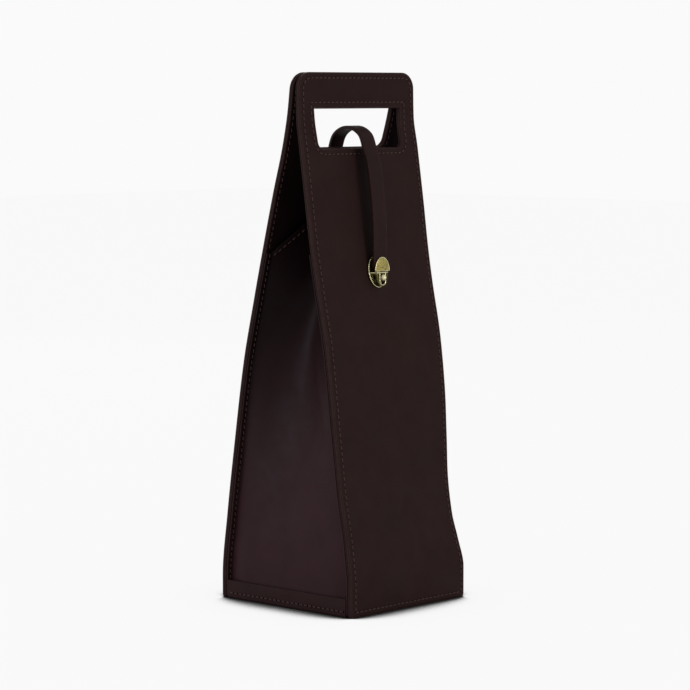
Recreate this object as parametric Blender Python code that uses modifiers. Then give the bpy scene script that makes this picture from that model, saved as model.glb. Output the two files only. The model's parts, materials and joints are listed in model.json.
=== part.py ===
# Leather carrier for one wine bottle: two stiff walls that lean together into a slotted carrying
# handle, folding side gussets, a sewn base, and a strap that closes the mouth with a small sprung
# brass lock. Metres, +Z up, the front wall faces -Y, origin under the centre of the base.
import math

import bmesh
import bpy
from mathutils import Matrix, Vector

# Whole body
BODY_WIDTH = 0.118
BODY_DEPTH = 0.125
BODY_HEIGHT = 0.370
TOUCH_GAP = 0.0003
CUT_OVERRUN = 0.003
WELD_DISTANCE = 0.000001
SLOPE_STEP = 0.004

# Lean of each wall: share of the height, then share of half the depth that its outer face stands
# out from the middle. The twist is added at the right edge and taken off at the left edge.
FRONT_LEAN_SHARES = (
    (0.000, 1.000), (0.060, 1.000), (0.110, 0.944), (0.160, 0.876), (0.230, 0.806), (0.300, 0.770),
    (0.405, 0.714), (0.500, 0.643), (0.600, 0.523), (0.675, 0.443), (0.757, 0.373), (0.857, 0.286),
    (0.920, 0.230), (1.000, 0.221),
)
FRONT_TWIST_SHARES = (
    (0.000, 0.000), (0.060, 0.000), (0.110, -0.026), (0.160, -0.053), (0.230, -0.045),
    (0.300, -0.027), (0.405, -0.005), (0.500, -0.002), (0.600, 0.000), (0.757, 0.009),
    (0.857, 0.007), (0.920, 0.000), (1.000, 0.000),
)
BACK_LEAN_SHARES = (
    (0.000, 1.000), (0.040, 1.000), (0.168, 0.917), (0.297, 0.806), (0.457, 0.653), (0.573, 0.494),
    (0.681, 0.336), (0.781, 0.182), (0.865, 0.042), (0.930, -0.035), (1.000, -0.083),
)
BACK_TWIST_SHARES = ((0.000, 0.000), (1.000, 0.000))
WALL_ROWS = 20
WALL_COLUMNS = 6

# Layers of a wall, from the outside in: leather, board, lining
OUTER_LEATHER = 0.0014
WALL_BOARD = 0.0010
LINING = 0.0010
BOARD_DEPTH = OUTER_LEATHER + TOUCH_GAP
RIM_DEPTH = BOARD_DEPTH + WALL_BOARD
LINING_DEPTH = RIM_DEPTH + TOUCH_GAP
WALL_THICKNESS = LINING_DEPTH + LINING
BOARD_MARGIN = 0.0065
WALL_CORNER_RADIUS = 0.0115
CORNER_STEPS = 6

# Handle slot through each wall, set in from the wall's sides and top
SLOT_SIDE_AT_TOP = 0.0152
SLOT_SIDE_AT_BOTTOM = 0.0175
SLOT_BELOW_TOP = 0.0247
SLOT_OPENING = 0.0288
SLOT_HIGH = BODY_HEIGHT - SLOT_BELOW_TOP
SLOT_LOW = SLOT_HIGH - SLOT_OPENING
SLOT_CORNER_RADIUS = 0.0055
SLOT_MARGIN = 0.0040

# Base: a leather tray whose side bands turn up outside the gussets
BASE_LEATHER = 0.0013
BASE_BOARD = 0.0020
BASE_LINING = 0.0010
SIDE_BAND_HEIGHT = 0.0130
BASE_FLANGE_HEIGHT = 0.0090
BASE_FLANGE_WIDTH = 0.0930

# Side gussets, each folded inward down its middle, with its flanges turned out to the wall's edge
GUSSET_LEATHER = 0.0012
GUSSET_SEAM_INSET = 0.0050
GUSSET_SEAM_HEIGHT = 0.2470
GUSSET_PEAK_HEIGHT = GUSSET_SEAM_HEIGHT + 0.0330
GUSSET_FOLD_DEPTH = 0.0345
GUSSET_FOLD_START = 0.0300
FOLD_GROWTH = 1.4
SWELL_SPREAD_SHARE = 0.33
GUSSET_COLUMNS = 6

# Strap, from its sewn end on the back wall over through both slots and down to the lock
STRAP_WIDTH = 0.0135
STRAP_THICKNESS = 0.0022
STRAP_SEWN_LOW = SLOT_LOW - 0.0545
STRAP_LEAVES_WALL = SLOT_LOW - 0.0220
STRAP_BACK_STANDOFF = 0.0040
STRAP_ARCH_RISE = 0.0155
STRAP_FRONT_STANDOFF = 0.0070
STRAP_HANG_STANDOFF = 0.0095
STRAP_HANG_SHARES = ((0.13, 0.97), (0.40, 1.00), (0.62, 0.90))
STRAP_BEND_HEIGHT = SLOT_LOW + 0.0047
STRAP_SPLINE_STEPS = 6

# Lock: an oval plate on the front wall, a raised housing below and a catch on the strap above
LOCK_HEIGHT = SLOT_LOW - 0.0845
LOCK_PLATE = 0.0010
LOCK_PLATE_WIDTH = 0.0174
LOCK_PLATE_HEIGHT = 0.0220
OVAL_STEPS = 14
LOCK_FACE_TILT = math.radians(9.0)
PRONG_SPACING = 0.0104
PRONG_WIDTH = 0.0024
PRONG_THICKNESS = 0.0008
BACKING_WIDTH = 0.0180
BACKING_HEIGHT = 0.0120
BACKING_THICKNESS = 0.0008

HOUSING_WIDTH = 0.0152
HOUSING_DROP = 0.0102
HOUSING_FRONT = 0.0050
HOUSING_WALL = 0.0008
HOUSING_SLOT_HIGH = 0.0013
WINDOW_HIGH = 0.0021
WINDOW_LOW = 0.0066
WINDOW_BACK = 0.0019
WINDOW_FRONT = 0.0036

SLIDER_WIDTH = 0.0064
SLIDER_HIGH = 0.0011
SLIDER_LOW = 0.0049
SLIDER_BACK = 0.0022
SLIDER_THICKNESS = 0.0012
SLIDER_TRAVEL = 0.0026
NOSE_WIDTH = 0.0024
NOSE_RISE = 0.0016
KNOB_DROP = 0.0040
KNOB_RADIUS = 0.0019
KNOB_CENTRE_OUT = 0.0058
KNOB_NECK_RADIUS = 0.0009
KNOB_SLOT_HALF = KNOB_RADIUS + 2 * TOUCH_GAP
KNOB_SLOT_DROP = KNOB_DROP + SLIDER_TRAVEL + KNOB_RADIUS + TOUCH_GAP
ROUND_STEPS = 16

SPRING_RADIUS = 0.0009
SPRING_WIRE_RADIUS = 0.00015
SPRING_TURNS = 3
SPRING_TURN_POINTS = 10

CATCH_WIDTH = 0.0148
CATCH_RISE = 0.0100
CATCH_PLATE = 0.0008
CATCH_BACK_SHARE = 0.90
CATCH_FLANGE_WIDTH = 0.0100
CATCH_EDGE_ROUND = 0.00025
CATCH_POST_RADIUS = 0.0012
CATCH_POST_RISE = 0.0058
CATCH_HEAD_RADIUS = 0.0020
STRAP_END_RISE = 0.0019

# Places across the lock, outward from its plate: back plate, strap, front plate
STRAP_BACK_OUT = 0.0017
CATCH_BACK_OUT = STRAP_BACK_OUT - TOUCH_GAP - CATCH_PLATE
CATCH_FRONT_OUT = STRAP_BACK_OUT + STRAP_THICKNESS + TOUCH_GAP
STRAP_MIDDLE_OUT = STRAP_BACK_OUT + STRAP_THICKNESS / 2

# Colours, roughness and metal share of each material
LEATHER = ("dark_brown_leather", (0.020, 0.011, 0.010), 0.55, 0.0)
GUSSET = ("gusset_leather", (0.026, 0.017, 0.020), 0.45, 0.0)
LINING_CLOTH = ("dark_lining", (0.008, 0.006, 0.006), 0.80, 0.0)
FIBRE_BOARD = ("fibre_board", (0.180, 0.120, 0.070), 0.85, 0.0)
BRASS = ("antique_brass", (0.300, 0.250, 0.090), 0.35, 1.0)
SPRING_STEEL = ("spring_steel", (0.450, 0.450, 0.430), 0.30, 1.0)


def clear_scene():
    for old in list(bpy.data.objects):
        bpy.data.objects.remove(old)


def make_collection(name):
    collection = bpy.data.collections.new(name)
    bpy.context.scene.collection.children.link(collection)
    return collection


def make_material(description):
    name, colour, roughness, metallic = description
    material = bpy.data.materials.get(name)
    if material:
        return material
    material = bpy.data.materials.new(name)
    material.use_nodes = True
    shader = material.node_tree.nodes["Principled BSDF"]
    shader.inputs["Base Color"].default_value = (*colour, 1.0)
    shader.inputs["Roughness"].default_value = roughness
    shader.inputs["Metallic"].default_value = metallic
    material.diffuse_color = (*colour, 1.0)
    return material


def smooth_curve(points):
    """Cubic curve through (place, value) points that never overshoots them."""
    places = [place for place, _ in points]
    values = [value for _, value in points]
    slopes = []
    for index in range(len(points) - 1):
        slopes.append((values[index + 1] - values[index]) / (places[index + 1] - places[index]))
    tangents = [slopes[0]]
    for before, after in zip(slopes, slopes[1:]):
        same_way = before * after > 0
        tangents.append(2 * before * after / (before + after) if same_way else 0.0)
    tangents.append(slopes[-1])

    def value_at(place):
        place = min(max(place, places[0]), places[-1])
        index = max(step for step in range(len(slopes)) if places[step] <= place)
        span = places[index + 1] - places[index]
        share = (place - places[index]) / span
        rest = 1 - share
        ends = values[index] * (1 + 2 * share) * rest ** 2
        ends += values[index + 1] * (1 + 2 * rest) * share ** 2
        bends = tangents[index] * share * rest ** 2 - tangents[index + 1] * rest * share ** 2
        return ends + bends * span

    return value_at


class Wall:
    """A leaning wall. A flat place is x, height and depth, which counts inward from the outer
    face; place() gives where it lies on the bent wall."""

    def __init__(self, side, lean_shares, twist_shares):
        self.side = side
        self.lean = smooth_curve(lean_shares)
        self.twist = smooth_curve(twist_shares)

    def outward(self, x, height):
        share = height / BODY_HEIGHT
        across = x / (BODY_WIDTH / 2)
        return (self.lean(share) + across * self.twist(share)) * BODY_DEPTH / 2

    def place(self, x, height, depth):
        low = max(height - SLOPE_STEP, 0.0)
        high = min(height + SLOPE_STEP, BODY_HEIGHT)
        slope = (self.outward(x, high) - self.outward(x, low)) / (high - low)
        run = math.hypot(1, slope)
        out = self.outward(x, height) - depth / run
        return Vector((x, self.side * out, height + depth * slope / run))


FRONT = Wall(-1, FRONT_LEAN_SHARES, FRONT_TWIST_SHARES)
BACK = Wall(1, BACK_LEAN_SHARES, BACK_TWIST_SHARES)


def arc(centre, radius, start, end, steps=CORNER_STEPS):
    """Points on an arc, angles in degrees."""
    points = []
    for step in range(steps + 1):
        angle = math.radians(start + (end - start) * step / steps)
        points.append((centre[0] + radius * math.cos(angle), centre[1] + radius * math.sin(angle)))
    return points


def rectangle(centre, width, height):
    x, y = centre
    left = x - width / 2
    right = x + width / 2
    low = y - height / 2
    high = y + height / 2
    return [(left, low), (right, low), (right, high), (left, high)]


def oval(centre, width, height):
    points = []
    for step in range(2 * OVAL_STEPS):
        angle = math.pi * step / OVAL_STEPS
        x = centre[0] + math.cos(angle) * width / 2
        points.append((x, centre[1] + math.sin(angle) * height / 2))
    return points


def half_oval(width, rise, start, way):
    """Half an oval that starts on a straight edge at start and reaches rise from it."""
    points = []
    for step in range(OVAL_STEPS + 1):
        angle = math.pi * step / OVAL_STEPS
        points.append((math.cos(angle) * width / 2, way * (start + math.sin(angle) * rise)))
    return points


def wall_outline(inset):
    half = BODY_WIDTH / 2 - inset
    top = BODY_HEIGHT - inset
    radius = WALL_CORNER_RADIUS - inset
    points = [(-half, inset), (half, inset)]
    points += arc((half - radius, top - radius), radius, 0, 90)
    points += arc((radius - half, top - radius), radius, 90, 180)
    return points


def slot_outline(grow):
    half_top = BODY_WIDTH / 2 - SLOT_SIDE_AT_TOP + grow
    half_low = BODY_WIDTH / 2 - SLOT_SIDE_AT_BOTTOM + grow
    radius = SLOT_CORNER_RADIUS + grow
    low = SLOT_LOW - grow
    high = SLOT_HIGH + grow
    points = [(half_top, high), (-half_top, high)]
    points += arc((radius - half_low, low + radius), radius, 180, 270)
    points += arc((half_low - radius, low + radius), radius, 270, 360)
    return points


def prong_slits(grow):
    slits = []
    for side in (-1, 1):
        middle = (side * PRONG_SPACING / 2, LOCK_HEIGHT)
        slits.append(rectangle(middle, PRONG_THICKNESS + 2 * grow, PRONG_WIDTH + 2 * grow))
    return slits


def evaluated_mesh(holder):
    """Mesh of an object with its modifiers, in the object's own places."""
    bpy.context.view_layer.update()
    graph = bpy.context.evaluated_depsgraph_get()
    return bpy.data.meshes.new_from_object(holder.evaluated_get(graph))


def face_outward(bm):
    """Turns every face of a closed body outward."""
    bmesh.ops.recalc_face_normals(bm, faces=bm.faces)
    if bm.calc_volume(signed=True) < 0:
        bmesh.ops.reverse_faces(bm, faces=bm.faces)


def plate(name, outlines, low, high):
    """Flat closed plate between two levels; outlines after the first are holes."""
    curve = bpy.data.curves.new(name, "CURVE")
    curve.dimensions = "2D"
    curve.fill_mode = "BOTH"
    curve.extrude = (high - low) / 2
    for outline in outlines:
        spline = curve.splines.new("POLY")
        spline.points.add(len(outline) - 1)
        for point, (x, y) in zip(spline.points, outline):
            point.co = (x, y, 0, 1)
        spline.use_cyclic_u = True
    holder = bpy.data.objects.new(name, curve)
    PARTS.objects.link(holder)
    mesh = evaluated_mesh(holder)
    bpy.data.objects.remove(holder)
    bm = bmesh.new()
    bm.from_mesh(mesh)
    bmesh.ops.remove_doubles(bm, verts=bm.verts, dist=WELD_DISTANCE)
    bmesh.ops.translate(bm, verts=bm.verts, vec=(0, 0, (low + high) / 2))
    bmesh.ops.dissolve_limit(bm, angle_limit=math.radians(1), verts=bm.verts, edges=bm.edges)
    face_outward(bm)
    bm.to_mesh(mesh)
    bm.free()
    return mesh


def box_mesh(name, low, high):
    """Closed box between two corners."""
    bm = bmesh.new()
    bmesh.ops.create_cube(bm, size=1)
    size = Vector(high) - Vector(low)
    bmesh.ops.scale(bm, vec=size, verts=bm.verts)
    bmesh.ops.translate(bm, vec=(Vector(high) + Vector(low)) / 2, verts=bm.verts)
    mesh = bpy.data.meshes.new(name)
    bm.to_mesh(mesh)
    bm.free()
    return mesh


def cylinder_mesh(name, centre, radius, low, high):
    """Closed round pin along the third axis between two levels."""
    bm = bmesh.new()
    bmesh.ops.create_cone(bm, cap_ends=True, segments=ROUND_STEPS, radius1=radius,
                          radius2=radius, depth=high - low)
    bmesh.ops.translate(bm, vec=(centre[0], centre[1], (low + high) / 2), verts=bm.verts)
    mesh = bpy.data.meshes.new(name)
    bm.to_mesh(mesh)
    bm.free()
    return mesh


def add_part(name, mesh, material):
    part = bpy.data.objects.new(name, mesh)
    mesh.name = name
    mesh.materials.clear()
    mesh.materials.append(make_material(material))
    PARTS.objects.link(part)
    return part


def shape_with(part, operation, meshes):
    """Cuts or joins helper bodies, given in the part's own places, into the part's mesh."""
    helpers = []
    for mesh in meshes:
        helper = bpy.data.objects.new(part.name + "_helper", mesh)
        helper.matrix_world = part.matrix_world
        helper.hide_render = True
        helper.display_type = "WIRE"
        CUTTERS.objects.link(helper)
        helpers.append(helper)
        change = part.modifiers.new(operation.lower(), "BOOLEAN")
        change.operation = operation
        change.solver = "EXACT"
        change.object = helper
    shaped = evaluated_mesh(part)
    part.modifiers.clear()
    part.data = shaped
    for helper in helpers:
        bpy.data.objects.remove(helper)


def bend_to_wall(part, wall):
    """Cuts a flat part along the wall's rows and columns and lays it on the wall."""
    bm = bmesh.new()
    bm.from_mesh(part.data)
    row_cuts = [(1, BODY_HEIGHT * row / WALL_ROWS) for row in range(1, WALL_ROWS)]
    column_cuts = []
    for column in range(1, WALL_COLUMNS):
        column_cuts.append((0, BODY_WIDTH * (column / WALL_COLUMNS - 1 / 2)))
    for axis, place in row_cuts + column_cuts:
        normal = Vector((0, 0, 0))
        normal[axis] = 1
        everything = bm.verts[:] + bm.edges[:] + bm.faces[:]
        bmesh.ops.bisect_plane(bm, geom=everything, dist=WELD_DISTANCE, plane_co=normal * place,
                               plane_no=normal)
    bmesh.ops.triangulate(bm, faces=bm.faces)
    for vertex in bm.verts:
        vertex.co = wall.place(*vertex.co)
    face_outward(bm)
    bm.to_mesh(part.data)
    bm.free()


def thicken(part, thickness):
    shell = part.modifiers.new("thickness", "SOLIDIFY")
    shell.thickness = thickness
    shell.offset = 0
    shell.use_even_offset = True
    return shell


def build_outer(name, wall, slits):
    """Outer leather with a rim, hollowed on the inside for the stiffening board."""
    outlines = [wall_outline(0), slot_outline(0)] + slits
    part = add_part(name, plate(name, outlines, 0, RIM_DEPTH), LEATHER)
    pocket_outlines = [wall_outline(BOARD_MARGIN - TOUCH_GAP), slot_outline(SLOT_MARGIN - TOUCH_GAP)]
    pocket = plate("pocket", pocket_outlines, OUTER_LEATHER, RIM_DEPTH + CUT_OVERRUN)
    shape_with(part, "DIFFERENCE", [pocket])
    bend_to_wall(part, wall)
    return part


def build_board(name, wall, windows):
    outlines = [wall_outline(BOARD_MARGIN), slot_outline(SLOT_MARGIN)] + windows
    part = add_part(name, plate(name, outlines, BOARD_DEPTH, RIM_DEPTH), FIBRE_BOARD)
    bend_to_wall(part, wall)
    return part


def build_lining(name, wall):
    outlines = [wall_outline(0), slot_outline(0)]
    part = add_part(name, plate(name, outlines, LINING_DEPTH, WALL_THICKNESS), LINING_CLOTH)
    bend_to_wall(part, wall)
    return part


def build_front_wall():
    backing_window = rectangle((0, LOCK_HEIGHT), BACKING_WIDTH + 2 * TOUCH_GAP,
                               BACKING_HEIGHT + 2 * TOUCH_GAP)
    return [
        build_outer("front_outer_leather", FRONT, prong_slits(TOUCH_GAP)),
        build_board("front_stiffener_board", FRONT, [backing_window]),
        build_lining("front_lining", FRONT),
    ]


def build_back_wall():
    build_outer("back_outer_leather", BACK, [])
    build_board("back_stiffener_board", BACK, [])
    build_lining("back_lining", BACK)


def base_half_depth():
    return BODY_DEPTH / 2 - WALL_THICKNESS - TOUCH_GAP


def build_base_leather():
    """Leather tray: bottom, two tall side bands that end at the gussets' flanges, and two low flanges
    inside the walls."""
    middle = BASE_LEATHER / 2
    half_width = BODY_WIDTH / 2 - middle
    half_depth = base_half_depth() - middle
    half_band = base_half_depth() - GUSSET_LEATHER - TOUCH_GAP
    half_flange = BASE_FLANGE_WIDTH / 2
    bm = bmesh.new()
    rows = []
    for y in (-half_depth, -half_band, half_band, half_depth):
        row = [bm.verts.new((x, y, middle)) for x in (-half_width, -half_flange, half_flange, half_width)]
        rows.append(row)
    for low, high in zip(rows, rows[1:]):
        for column in range(3):
            bm.faces.new((low[column], low[column + 1], high[column + 1], high[column]))
    raised = [
        (rows[1][0], rows[2][0], SIDE_BAND_HEIGHT), (rows[1][3], rows[2][3], SIDE_BAND_HEIGHT),
        (rows[0][1], rows[0][2], BASE_FLANGE_HEIGHT), (rows[3][1], rows[3][2], BASE_FLANGE_HEIGHT),
    ]
    for first, second, top in raised:
        edge = bm.edges.get((first, second))
        turned = bmesh.ops.extrude_edge_only(bm, edges=[edge])["geom"]
        lifted = [item for item in turned if isinstance(item, bmesh.types.BMVert)]
        bmesh.ops.translate(bm, verts=lifted, vec=(0, 0, top - middle))
    bmesh.ops.recalc_face_normals(bm, faces=bm.faces)
    mesh = bpy.data.meshes.new("base_outer_leather")
    bm.to_mesh(mesh)
    bm.free()
    part = add_part("base_outer_leather", mesh, LEATHER)
    shell = thicken(part, BASE_LEATHER)
    shell.solidify_mode = "NON_MANIFOLD"
    shell.nonmanifold_thickness_mode = "CONSTRAINTS"


def build_base_inside():
    """Board and lining that fill the tray."""
    half_width = gusset_corner_x() - GUSSET_LEATHER / 2 - TOUCH_GAP
    half_depth = base_half_depth() - BASE_LEATHER - TOUCH_GAP
    outline = rectangle((0, 0), 2 * half_width, 2 * half_depth)
    board_low = BASE_LEATHER + TOUCH_GAP
    board_high = board_low + BASE_BOARD
    lining_low = board_high + TOUCH_GAP
    add_part("base_board", plate("base_board", [outline], board_low, board_high), FIBRE_BOARD)
    lining = plate("base_lining", [outline], lining_low, lining_low + BASE_LINING)
    add_part("base_lining", lining, LINING_CLOTH)


def gusset_corner_x():
    """Where the middle of the gusset's leather turns off the wall."""
    return BODY_WIDTH / 2 - GUSSET_SEAM_INSET


def gusset_swell(height):
    """How far the gusset stands out between its seams: at the base, out to the side bands."""
    fullest = GUSSET_SEAM_INSET - BASE_LEATHER - TOUCH_GAP - GUSSET_LEATHER / 2
    share = (height - SIDE_BAND_HEIGHT) / (GUSSET_SEAM_HEIGHT - SIDE_BAND_HEIGHT)
    return fullest * (1 - min(max(share, 0.0), 1.0))


def gusset_fold_depth(height):
    share = (height - GUSSET_FOLD_START) / (GUSSET_SEAM_HEIGHT - GUSSET_FOLD_START)
    return GUSSET_FOLD_DEPTH * min(max(share, 0.0), 1.0) ** FOLD_GROWTH


def gusset_heights():
    """Heights of a gusset's rows along its seam: the wall's own rows, so that both bend alike."""
    step = BODY_HEIGHT / WALL_ROWS
    heights = [BASE_LEATHER + TOUCH_GAP]
    heights += [step * row for row in range(1, WALL_ROWS) if step * row < GUSSET_SEAM_HEIGHT - SLOPE_STEP]
    return heights + [GUSSET_SEAM_HEIGHT]


def build_gusset_half(name, wall, side):
    """Half a gusset: a flange on the wall's lining, turned out to the wall's edge, then the leather
    from the seam to the middle fold."""
    heights = gusset_heights()
    rows = len(heights) - 1
    bm = bmesh.new()
    bmesh.ops.create_grid(bm, x_segments=GUSSET_COLUMNS + 1, y_segments=rows, size=0.5)
    inside = WALL_THICKNESS + TOUCH_GAP + GUSSET_LEATHER / 2
    fold_gap = (GUSSET_LEATHER + TOUCH_GAP) / 2
    other = BACK if wall is FRONT else FRONT
    corner_x = gusset_corner_x()
    for vertex in bm.verts:
        column = round((vertex.co.x + 0.5) * (GUSSET_COLUMNS + 1))
        share = max(column - 1, 0) / GUSSET_COLUMNS
        seam_height = heights[round((vertex.co.y + 0.5) * rows)]
        climb = (seam_height - heights[0]) / (heights[-1] - heights[0])
        height = seam_height + (GUSSET_PEAK_HEIGHT - GUSSET_SEAM_HEIGHT) * climb * share
        if column == 0:
            vertex.co = wall.place(side * (BODY_WIDTH / 2 - TOUCH_GAP), height, inside)
            continue
        corner = wall.place(side * corner_x, height, inside)
        facing = other.place(side * corner_x, height, inside)
        fold = (corner + facing) / 2
        fold.x -= side * gusset_fold_depth(height)
        fold.y += wall.side * fold_gap
        vertex.co = corner.lerp(fold, share)
        spread = math.sin(math.pi / 2 * min(share / SWELL_SPREAD_SHARE, 1.0))
        vertex.co.x += side * gusset_swell(height) * spread
    bmesh.ops.recalc_face_normals(bm, faces=bm.faces)
    mesh = bpy.data.meshes.new(name)
    bm.to_mesh(mesh)
    bm.free()
    part = add_part(name, mesh, GUSSET)
    thicken(part, GUSSET_LEATHER)
    return part


def lock_matrix():
    """Frame on the lock plate's face: across, up along the wall, out from the wall."""
    origin = FRONT.place(0, LOCK_HEIGHT, -TOUCH_GAP - LOCK_PLATE)
    above = FRONT.place(0, LOCK_HEIGHT + SLOPE_STEP, 0)
    below = FRONT.place(0, LOCK_HEIGHT - SLOPE_STEP, 0)
    across = Vector((1, 0, 0))
    up = (above - below).normalized()
    out = across.cross(up)
    frame = Matrix((across, up, out)).transposed().to_4x4()
    frame.translation = origin
    return frame


def face_matrix():
    """The lock frame turned so that its front face and the strap's end stand nearly upright."""
    return lock_matrix() @ Matrix.Rotation(LOCK_FACE_TILT, 4, "X")


def build_lock_plate():
    """Oval plate with two prongs that pass through the leather and the backing plate."""
    name = "lock_base_plate"
    outline = oval((0, LOCK_HEIGHT), LOCK_PLATE_WIDTH, LOCK_PLATE_HEIGHT)
    flat = plate(name, [outline], -TOUCH_GAP - LOCK_PLATE, -TOUCH_GAP)
    part = add_part(name, flat, BRASS)
    prong_end = BOARD_DEPTH + BACKING_THICKNESS
    prongs = []
    for slit in prong_slits(0):
        prongs.append(plate("prong", [slit], -TOUCH_GAP - LOCK_PLATE / 2, prong_end))
    shape_with(part, "UNION", prongs)
    bend_to_wall(part, FRONT)
    return part


def build_backing_plate():
    name = "lock_backing_plate"
    outlines = [rectangle((0, LOCK_HEIGHT), BACKING_WIDTH, BACKING_HEIGHT)] + prong_slits(TOUCH_GAP)
    part = add_part(name, plate(name, outlines, BOARD_DEPTH, BOARD_DEPTH + BACKING_THICKNESS), BRASS)
    bend_to_wall(part, FRONT)
    return part


def nose_hole(low, high):
    """Cutter for the slit that the slider's nose passes through, between two levels of rise."""
    half = NOSE_WIDTH / 2 + TOUCH_GAP
    back = SLIDER_BACK - TOUCH_GAP
    front = SLIDER_BACK + SLIDER_THICKNESS + TOUCH_GAP
    return box_mesh("nose_hole", (-half, low, back), (half, high, front))


def knob_slot_outline():
    """U-shaped slot, round at its lower end, that the knob's neck runs in."""
    points = [(KNOB_SLOT_HALF, -HOUSING_SLOT_HIGH), (-KNOB_SLOT_HALF, -HOUSING_SLOT_HIGH)]
    points += arc((0, KNOB_SLOT_HALF - KNOB_SLOT_DROP), KNOB_SLOT_HALF, 180, 360)
    return points


def build_housing():
    """Half-oval box below the catch, open at its back, with side windows and a knob slot."""
    name = "lock_housing"
    outline = half_oval(HOUSING_WIDTH, HOUSING_DROP, 0, -1)
    part = add_part(name, plate(name, [outline], -CUT_OVERRUN, HOUSING_FRONT), BRASS)
    inner_width = HOUSING_WIDTH - 2 * HOUSING_WALL
    inner_drop = HOUSING_DROP - 2 * HOUSING_WALL
    cavity = plate("cavity", [half_oval(inner_width, inner_drop, HOUSING_WALL, -1)],
                   -2 * CUT_OVERRUN, HOUSING_FRONT - HOUSING_WALL)
    front_slot = plate("front_slot", [knob_slot_outline()], HOUSING_FRONT - 2 * HOUSING_WALL,
                       HOUSING_FRONT + CUT_OVERRUN)
    windows = box_mesh("windows", (-HOUSING_WIDTH, -WINDOW_LOW, WINDOW_BACK),
                       (HOUSING_WIDTH, -WINDOW_HIGH, WINDOW_FRONT))
    below_plate = box_mesh("below_plate", (-HOUSING_WIDTH, -2 * HOUSING_DROP, -HOUSING_WIDTH),
                           (HOUSING_WIDTH, 2 * HOUSING_DROP, 0))
    untilt = Matrix.Rotation(-LOCK_FACE_TILT, 4, "X")
    below_plate.transform(untilt @ Matrix.Translation((0, 0, TOUCH_GAP)))
    cutters = [cavity, front_slot, windows, nose_hole(-2 * HOUSING_WALL, CUT_OVERRUN), below_plate]
    shape_with(part, "DIFFERENCE", cutters)
    part.matrix_world = face_matrix()
    return part


def build_slider_bar():
    """Flat bar inside the housing, with a nose that rises into the catch."""
    half = SLIDER_WIDTH / 2
    half_nose = NOSE_WIDTH / 2
    outline = [(-half, -SLIDER_LOW), (half, -SLIDER_LOW), (half, -SLIDER_HIGH),
               (half_nose, -SLIDER_HIGH), (half_nose, NOSE_RISE), (-half_nose, NOSE_RISE),
               (-half_nose, -SLIDER_HIGH), (-half, -SLIDER_HIGH)]
    flat = plate("slider_bar", [outline], SLIDER_BACK, SLIDER_BACK + SLIDER_THICKNESS)
    part = add_part("slider_bar", flat, BRASS)
    part.matrix_world = face_matrix()
    return part


def build_knob():
    """Ball on a short neck, turned from one profile."""
    start = SLIDER_BACK + SLIDER_THICKNESS + TOUCH_GAP
    meet = math.acos(-math.sqrt(KNOB_RADIUS ** 2 - KNOB_NECK_RADIUS ** 2) / KNOB_RADIUS)
    profile = []
    for step in range(ROUND_STEPS // 2 + 1):
        angle = meet * step / (ROUND_STEPS // 2)
        out = KNOB_CENTRE_OUT + KNOB_RADIUS * math.cos(angle)
        profile.append((KNOB_RADIUS * math.sin(angle), 0, out))
    profile += [(KNOB_NECK_RADIUS, 0, start), (0, 0, start)]
    bm = bmesh.new()
    points = [bm.verts.new(point) for point in profile]
    for first, second in zip(points, points[1:]):
        bm.edges.new((first, second))
    mesh = bpy.data.meshes.new("slider_knob")
    bm.to_mesh(mesh)
    bm.free()
    part = add_part("slider_knob", mesh, BRASS)
    turn = part.modifiers.new("turn", "SCREW")
    turn.steps = ROUND_STEPS
    turn.render_steps = ROUND_STEPS
    turn.use_merge_vertices = True
    turn.merge_threshold = WELD_DISTANCE
    part.matrix_world = face_matrix() @ Matrix.Translation((0, -KNOB_DROP, 0))
    return part


def build_spring():
    """Small coil that pushes the slider bar up again."""
    high = -SLIDER_LOW - TOUCH_GAP - SPRING_WIRE_RADIUS
    low = HOUSING_WALL - HOUSING_DROP + TOUCH_GAP + 2 * SPRING_WIRE_RADIUS
    middle_out = SLIDER_BACK + SLIDER_THICKNESS / 2
    curve = bpy.data.curves.new("lock_spring", "CURVE")
    curve.dimensions = "3D"
    curve.bevel_depth = SPRING_WIRE_RADIUS
    curve.bevel_resolution = 1
    curve.use_fill_caps = True
    spline = curve.splines.new("POLY")
    count = SPRING_TURNS * SPRING_TURN_POINTS
    spline.points.add(count)
    for step, point in enumerate(spline.points):
        angle = math.tau * step / SPRING_TURN_POINTS
        x = SPRING_RADIUS * math.cos(angle)
        rise = low + (high - low) * step / count
        point.co = (x, rise, middle_out + SPRING_RADIUS * math.sin(angle), 1)
    part = bpy.data.objects.new("lock_spring", curve)
    curve.materials.append(make_material(SPRING_STEEL))
    PARTS.objects.link(part)
    part.matrix_world = face_matrix()
    return part


def build_catch_front():
    """Half-oval front plate with the post that rivets strap and back plate behind it."""
    name = "catch_front_plate"
    outline = half_oval(CATCH_WIDTH, CATCH_RISE, TOUCH_GAP, 1)
    part = add_part(name, plate(name, [outline], CATCH_FRONT_OUT, CATCH_FRONT_OUT + CATCH_PLATE), BRASS)
    edges = part.modifiers.new("edges", "BEVEL")
    edges.width = CATCH_EDGE_ROUND
    edges.segments = 2
    edges.angle_limit = math.radians(60)
    part.data = evaluated_mesh(part)
    part.modifiers.clear()
    middle = (0, CATCH_POST_RISE)
    head_front = CATCH_BACK_OUT - TOUCH_GAP
    post = cylinder_mesh("post", middle, CATCH_POST_RADIUS, head_front - CATCH_PLATE / 2,
                         CATCH_FRONT_OUT + CATCH_PLATE / 2)
    head = cylinder_mesh("head", middle, CATCH_HEAD_RADIUS, head_front - CATCH_PLATE, head_front)
    shape_with(part, "UNION", [post, head])
    part.matrix_world = face_matrix()
    return part


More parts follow.
